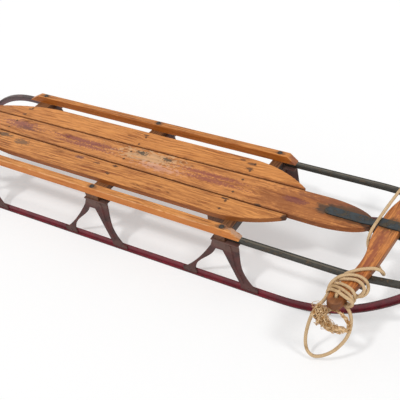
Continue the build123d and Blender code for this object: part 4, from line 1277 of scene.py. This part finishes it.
@dataclass
class Deck:
    """The three slats, the side rails and the benches, with the slats' screws."""

    centre_stains: tuple[StainOrPaintedLight, ...] = stains_at(DECK_TOP, THROUGH, (
        ((-440.0, 6.0), (60.0, 16.0), "7C4448", 0.7, 4.2, 210.0),
        ((-410.0, -4.0), (32.0, 9.0), "5C3634", 0.6, 3.6, 230.0),
        ((-205.0, 8.0), (112.0, 8.0), "7A3C40", 0.75, 4.4, 260.0),
        ((-200.0, -8.0), (90.0, 7.0), "7A3C40", 0.7, 4.6, 260.0),
        ((-15.0, 12.0), (85.0, 24.0), "D9B890", 0.5, 4.6, 150.0),
        ((30.0, -14.0), (66.0, 12.0), "D9A28C", 0.55, 4.6, 150.0),
        ((160.0, 10.0), (92.0, 8.0), "8A4440", 0.7, 4.4, 260.0),
        ((175.0, -8.0), (80.0, 8.0), "86423E", 0.7, 4.6, 260.0),
        ((-42.0, 21.0), (19.0, 8.0), "3A352A", 0.9, 3.4, 240.0),
        ((35.0, 21.0), (16.0, 7.0), "3A352A", 0.85, 3.4, 240.0),
        ((440.0, 0.0), (150.0, 60.0), "84441E", 0.5, 3.2, 130.0),
        ((470.0, 30.0), (110.0, 12.0), "7A4430", 0.6, 2.6, 110.0),
        ((381.0, 3.0), (32.0, 10.0), "6A3038", 0.7, 2.6, 150.0),
        ((350.0, -14.0), (60.0, 22.0), "8A4E26", 0.5, 2.6, 60.0),
        ((452.0, 3.0), (24.0, 17.0), "2E2A26", 0.85, 1.6, 90.0),
        ((505.0, 18.0), (62.0, 8.0), "3E2A1E", 0.8, 1.6, 90.0),
        ((525.0, 27.0), (48.0, 7.0), "5E3A28", 0.7, 1.8, 90.0),
        ((515.0, -15.0), (45.0, 5.0), "4A2A16", 0.7, 1.8, 90.0),
        ((548.0, 0.0), (20.0, 22.0), "3A2416", 0.8, 1.6, 90.0),
        ((490.0, 3.0), (58.0, 26.0), "5A3C22", 0.55, 2.4, 70.0),
        ((313.0, -43.0), (10.0, 4.0), "3A2412", 0.9, 1.6, 160.0),
        ((-640.0, 0.0), (30.0, 40.0), "6A4630", 0.5, 1.8, 90.0),
    ))
    right_stains: tuple[StainOrPaintedLight, ...] = stains_at(DECK_TOP, THROUGH, (
        ((-500.0, -52.0), (40.0, 16.0), "6E4626", 0.5, 2.6, 60.0),
        ((-450.0, -50.0), (26.0, 8.0), "423C30", 0.75, 3.0, 160.0),
        ((-376.0, -61.0), (30.0, 11.0), "524436", 0.7, 3.2, 160.0),
        ((-182.0, -54.0), (18.0, 6.0), "5A3640", 0.7, 2.4, 160.0),
        ((-124.0, -58.0), (12.0, 4.0), "5A3220", 0.7, 2.4, 160.0),
        ((-74.0, -50.0), (9.0, 4.0), "4A2A18", 0.85, 1.8, 160.0),
        ((-75.0, -81.0), (8.0, 4.0), "4A2A18", 0.8, 1.8, 160.0),
        ((237.0, -52.0), (13.0, 4.0), "3A2416", 0.9, 1.8, 160.0),
    )) + (StainOrPaintedLight((384.0, -55.0), (11.0, 12.0), "3A2212", 0.9, 1.4, 120.0, 150.0, THROUGH),)
    left_stains: tuple[StainOrPaintedLight, ...] = stains_at(DECK_TOP, THROUGH, (
        ((-560.0, 50.0), (60.0, 20.0), "8A5228", 0.45, 2.6, 50.0),
        ((-467.0, 50.0), (9.0, 4.0), "4E2E18", 0.85, 1.8, 160.0),
        ((-469.0, 77.0), (9.0, 4.0), "4E2E18", 0.8, 1.8, 160.0),
        ((-76.0, 91.0), (9.0, 4.0), "4E2E18", 0.8, 1.8, 160.0),
        ((206.0, 91.0), (9.0, 4.0), "4E2E18", 0.75, 1.8, 160.0),
        ((233.0, 85.0), (14.0, 5.0), "4A2C18", 0.85, 2.0, 160.0),
        ((236.0, 67.0), (11.0, 5.0), "4A2C18", 0.85, 2.0, 160.0),
    ))
    # Pale bands along the right rail's near top edge: partly rubbed wear, partly a painted highlight
    # along the arris.
    rubbed_and_highlit_edges: tuple[StainOrPaintedLight, ...] = tuple(
        StainOrPaintedLight((x, -152.5), (130.0, 2.4), "F4BC84", 0.45, 2.4, 90.0, 160.5, 2.4)
        for x in (-380.0, -180.0, 20.0, 200.0))
    screw_rows: tuple[tuple[float, tuple[float, ...]], ...] = (
        (-465.0, (82.7, 50.6, 16.3)), (-72.0, (82.7, 50.6, 16.3)), (240.6, (87.1, 59.1, 24.0)))

    def build(self) -> None:
        """Dresses the wood and sets the screws."""
        # The slats' side faces are darkened: partly side grain, partly painted shade.
        sides = {"side_grain_and_shade": "8C4C1E", "side_grain_and_shade_share": 0.75}
        dress(("centre_slat",), WoodFinish(
            "centre_slat_wood", "DD9452", "8E4E1E", "50260C",
            spacing=12.0, wander=60.0, contrast=0.9, seed=2.0,
            stains_and_painted_light=self._seams(0.0) + self.centre_stains, **sides).material())
        dress(("left_slat",), WoodFinish(
            "left_slat_wood", "E09650", "9C561E", "5E300F",
            spacing=11.0, wander=75.0, contrast=0.85, seed=7.3,
            stains_and_painted_light=self._seams(1.0) + self.left_stains, **sides).material())
        dress(("right_slat",), WoodFinish(
            "right_slat_wood", "DF9752", "8E4C1C", "50260C",
            spacing=8.5, wander=56.0, contrast=0.98, seed=11.9,
            stains_and_painted_light=self._seams(-1.0) + self.right_stains, **sides).material())
        dress(("left_side_rail",), WoodFinish(
            "left_rail_wood", "D68C46", "8E4C1A", "54290A",
            spacing=9.0, wander=34.0, contrast=0.95, seed=4.4,
            side_grain_and_shade="B05C0C", side_grain_and_shade_share=0.7, stains_and_painted_light=self._rail_stains()).material())
        dress(("right_side_rail",), WoodFinish(
            "right_rail_wood", "E09852", "965018", "5E300F",
            spacing=9.0, wander=34.0, contrast=0.85, seed=8.1,
            side_grain_and_shade="C87022", side_grain_and_shade_share=0.65,
            # With the bolt rings come the pale top-edge bands: rubbed wear and a painted highlight.
            stains_and_painted_light=self._rail_stains() + self.rubbed_and_highlit_edges).material())
        dress(("rear_bench", "middle_bench", "front_bench"), WoodFinish(
            "bench_wood", "8A5A34", "4A2A18", "24120A",
            spacing=7.0, wander=30.0, contrast=0.8, seed=5.1,
            side_grain_and_shade="4A2A18", under_colour="5A3A22", turn=90.0).material())
        seats = tuple(
            (self._slat(y), (x, y, ABOVE), (0.0, 0.0, -1.0))
            for x, row in self.screw_rows for reach in row for y in (reach, -reach))
        screw = SteelFinish("screw_steel", "6A4426", "4E3018", "7A5636", wear=0.5, scale=160.0,
                            roughness=0.6, metallic=0.2)
        heads = Heads("deck_screws", "frame", HeadShape.SLOTTED, radius=3.2, height=0.4,
                      seats=seats, seed=5)
        heads.make(screw.material(), "bolt_steel")

    @staticmethod
    def _seams(side: float) -> tuple[StainOrPaintedLight, ...]:
        """Darker bands along a slat's long edges, by the seams: 0 for the centre slat, 1 for the
        left, -1 for the right.

        Args:
            side: which slat.

        Returns:
            The bands, which follow the taper of the seams.
        """
        bands = []
        for way in ((1.0, -1.0) if side == 0.0 else (side,)):
            for x, y in ((-560.0, 34.5), (-380.0, 36.0), (-200.0, 38.3), (-20.0, 40.7),
                         (160.0, 43.0), (330.0, 45.0)):
                bands.append(StainOrPaintedLight((x, way * y), (125.0, 5.0), "6A3A16", 0.6, 1.6, 110.0,
                                   DECK_TOP, THROUGH))
        return tuple(bands)

    @staticmethod
    def _slat(y: float) -> str:
        """The slat at a distance from the centre line."""
        return "centre_slat" if abs(y) < 40.0 else "left_slat" if y > 0 else "right_slat"

    @staticmethod
    def _rail_stains() -> tuple[StainOrPaintedLight, ...]:
        """Dark rings round the rail bolts, and the broken right front end."""
        rings = tuple(
            StainOrPaintedLight((x, y), (17.0, 9.0), "5E3A20", 0.65, 1.2, 90.0, 160.0, THROUGH)
            for _, x in KNEES for y in (RAIL_LINE, -RAIL_LINE))
        return rings + (
            StainOrPaintedLight((300.0, -136.0), (26.0, 12.0), "6A4630", 0.6, 1.6, 120.0, 158.0, THROUGH),
            StainOrPaintedLight((308.0, -140.0), (24.0, 10.0), "C9A48A", 0.6, 3.0, 130.0, 152.0, 20.0),
            StainOrPaintedLight((318.0, 143.0), (16.0, 14.0), "7A4438", 0.65, 1.4, 90.0, 150.0, THROUGH))


# ---------------------------------------------------------------- the steel
@dataclass
class Undercarriage:
    """The runners, the knees, the bow and the brace, with their rivets."""

    foot_places: tuple[float, ...] = (-88.0, 63.0)
    foot_height: float = 10.0
    tip_rivets: tuple[tuple[float, float], ...] = ((672.0, 120.0), (683.0, 127.0))
    # On each bow arm's flange, a dark streak along one edge is painted shade and a pale streak along
    # the middle is a painted highlight.
    bow_highlight_and_shade_streaks: tuple[StainOrPaintedLight, ...] = tuple(
        StainOrPaintedLight((x, side * RAIL_LINE + shift), (100.0, reach), colour, strength, 1.2, 90.0, 141.5, 4.0)
        for side in (1.0, -1.0) for x in (350.0, 490.0)
        for shift, reach, colour, strength in (
            (4.6, 2.2, "1E1C18", 0.8), (0.8, 2.6, "746B5C", 0.6)))

    def build(self, steel: bpy.types.Material) -> None:
        """Dresses the steel and sets the rivets.

        Args:
            steel: the fastenings' material.
        """
        dress(("left_runner", "right_runner"), RunnerFinish("runner_paint").material())
        dress(tuple(f"{name}_{place}_knee" for name, _ in SIDES for place, _ in KNEES),
              SteelFinish("knee_paint", "562A26", "3E2421", "38261E", wear=0.5, scale=45.0,
                          roughness=0.62, metallic=0.05,
                          stains_and_painted_light=self._knee_stains()).material())
        dress(("front_bow",), SteelFinish(
            "old_bow_steel", "3E3D37", "2C2A25", "5C4C3A",
            wear=0.62, scale=70.0, roughness=0.5, metallic=0.3,
            # The bow's dark and pale streaks are painted shade and a painted highlight.
            stains_and_painted_light=self.bow_highlight_and_shade_streaks).material())
        dress(("front_bench_brace",), SteelFinish(
            "rusty_brace_steel", "4A3A34", "3A302C", "5E4A3E",
            wear=0.5, scale=60.0, roughness=0.5, metallic=0.4).material())
        dress(("rail_bolts",), steel)
        seats = tuple(
            (f"{name}_{place}_knee", (station + foot, side * BESIDE, self.foot_height),
             (0.0, -side, 0.0))
            for name, side in SIDES for place, station in KNEES for foot in self.foot_places)
        rivet = SteelFinish(
            "rivet_steel", "5A3234", "4A3230", "3A2C2A",
            wear=0.4, scale=120.0, roughness=0.5, metallic=0.3).material()
        Heads("knee_rivets", "frame", HeadShape.DOME, radius=4.0, height=1.8, seats=seats).make(
            rivet, "bolt_steel")
        tips = tuple((f"{name}_runner", (x, side * BESIDE, z), (0.0, -side, 0.0))
                     for name, side in SIDES for x, z in self.tip_rivets)
        Heads("runner_tip_rivets", "frame", HeadShape.DOME, radius=3.0, height=1.4,
              seats=tips).make(rivet, "bolt_steel")

    def _knee_stains(self) -> tuple[StainOrPaintedLight, ...]:
        """Bare, rusty tops and feet of the knees."""
        tops = [StainOrPaintedLight((x, y), (55.0, 26.0), "705448", 0.55, 1.6, 60.0, 122.0, 20.0)
                for _, x in KNEES for y in (150.0, -150.0)]
        feet = [StainOrPaintedLight((x + foot, y), (24.0, 20.0), "5C3E36", 0.45, 1.8, 90.0, 14.0, 14.0)
                for _, x in KNEES for foot in self.foot_places for y in (172.0, -172.0)]
        return tuple(tops + feet)


@dataclass
class Steering:
    """The steering bar, the pivot straps and the clips, with their fastenings."""

    pivot: Place = PIVOT
    turn: float = BAR_TURN
    bar_stains: tuple[StainOrPaintedLight, ...] = stains_at(19.0, 12.0, (
        ((-95.0, -2.0), (80.0, 7.0), "8A4432", 0.7, 3.4, 110.0),
        ((-60.0, 6.0), (40.0, 5.0), "83402F", 0.6, 3.2, 110.0),
        ((100.0, -2.0), (80.0, 7.0), "8A4432", 0.6, 3.4, 110.0),
        ((-38.0, 2.0), (26.0, 20.0), "9A5A3A", 0.4, 3.0, 90.0),
        ((0.0, 0.0), (24.0, 28.0), "3A2A1C", 0.7, 2.0, 80.0),
    )) + stains_at(14.0, 20.0, tuple(
        ((end * 228.0, 0.0), (26.0, 24.0), "7A4420", 0.6, 2.0, 70.0) for end in (-1.0, 1.0)
    )) + stains_at(10.0, 20.0, tuple(
        ((end * 238.0, 14.0), (16.0, 20.0), "5A3822", 0.65, 1.8, 90.0) for end in (-1.0, 1.0)))
    strap_rivets: tuple[float, ...] = (462.0, 505.0, 535.0)

    def build(self) -> None:
        """Dresses the steering parts and sets their fastenings."""
        origin = (*self.pivot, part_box("steering_bar")[0].z / MM)
        dress(("steering_bar",), WoodFinish(
            "steering_bar_wood", "D88C4C", "8E4C20", "54290F",
            spacing=7.5, wander=26.0, contrast=0.95, seed=9.7,
            side_grain_and_shade="7E4216", side_grain_and_shade_share=0.65, origin=origin, turn=self.turn + 90.0,
            stains_and_painted_light=self.bar_stains).material())
        strap = SteelFinish(
            "oily_strap_steel", "343C40", "202224", "4A4032",
            wear=0.7, scale=62.0, roughness=0.5, metallic=0.3).material()
        dress(("upper_pivot_strap", "pivot_bolt", "left_steering_clip", "right_steering_clip"),
              strap)
        # The lower strap takes the same steel darkened: painted shade for its place under the bar.
        dress(("lower_pivot_strap",), SteelFinish(
            "strap_steel_in_painted_shade", "262828", "1E2020", "3A3834",
            wear=0.4, scale=70.0, roughness=0.5, metallic=0.35).material())
        seats = tuple(("upper_pivot_strap", (x, 0.0, ABOVE), (0.0, 0.0, -1.0))
                      for x in self.strap_rivets)
        Heads("strap_rivets", "frame", HeadShape.DOME, radius=4.2, height=1.0, seats=seats).make(
            strap, "bolt_steel")


def main() -> None:
    """Makes the whole sled."""
    logging.basicConfig(level=logging.INFO, format="%(name)s: %(message)s")
    Studio().build()
    TowRope().build()
    bolt = SteelFinish(
        "rusty_bolt_steel", "3C342E", "2C2826", "5A4A3C",
        wear=0.45, scale=140.0, roughness=0.5, metallic=0.5).material()
    Deck().build()
    Undercarriage().build(bolt)
    Steering().build()


if __name__ == "__main__":
    main()
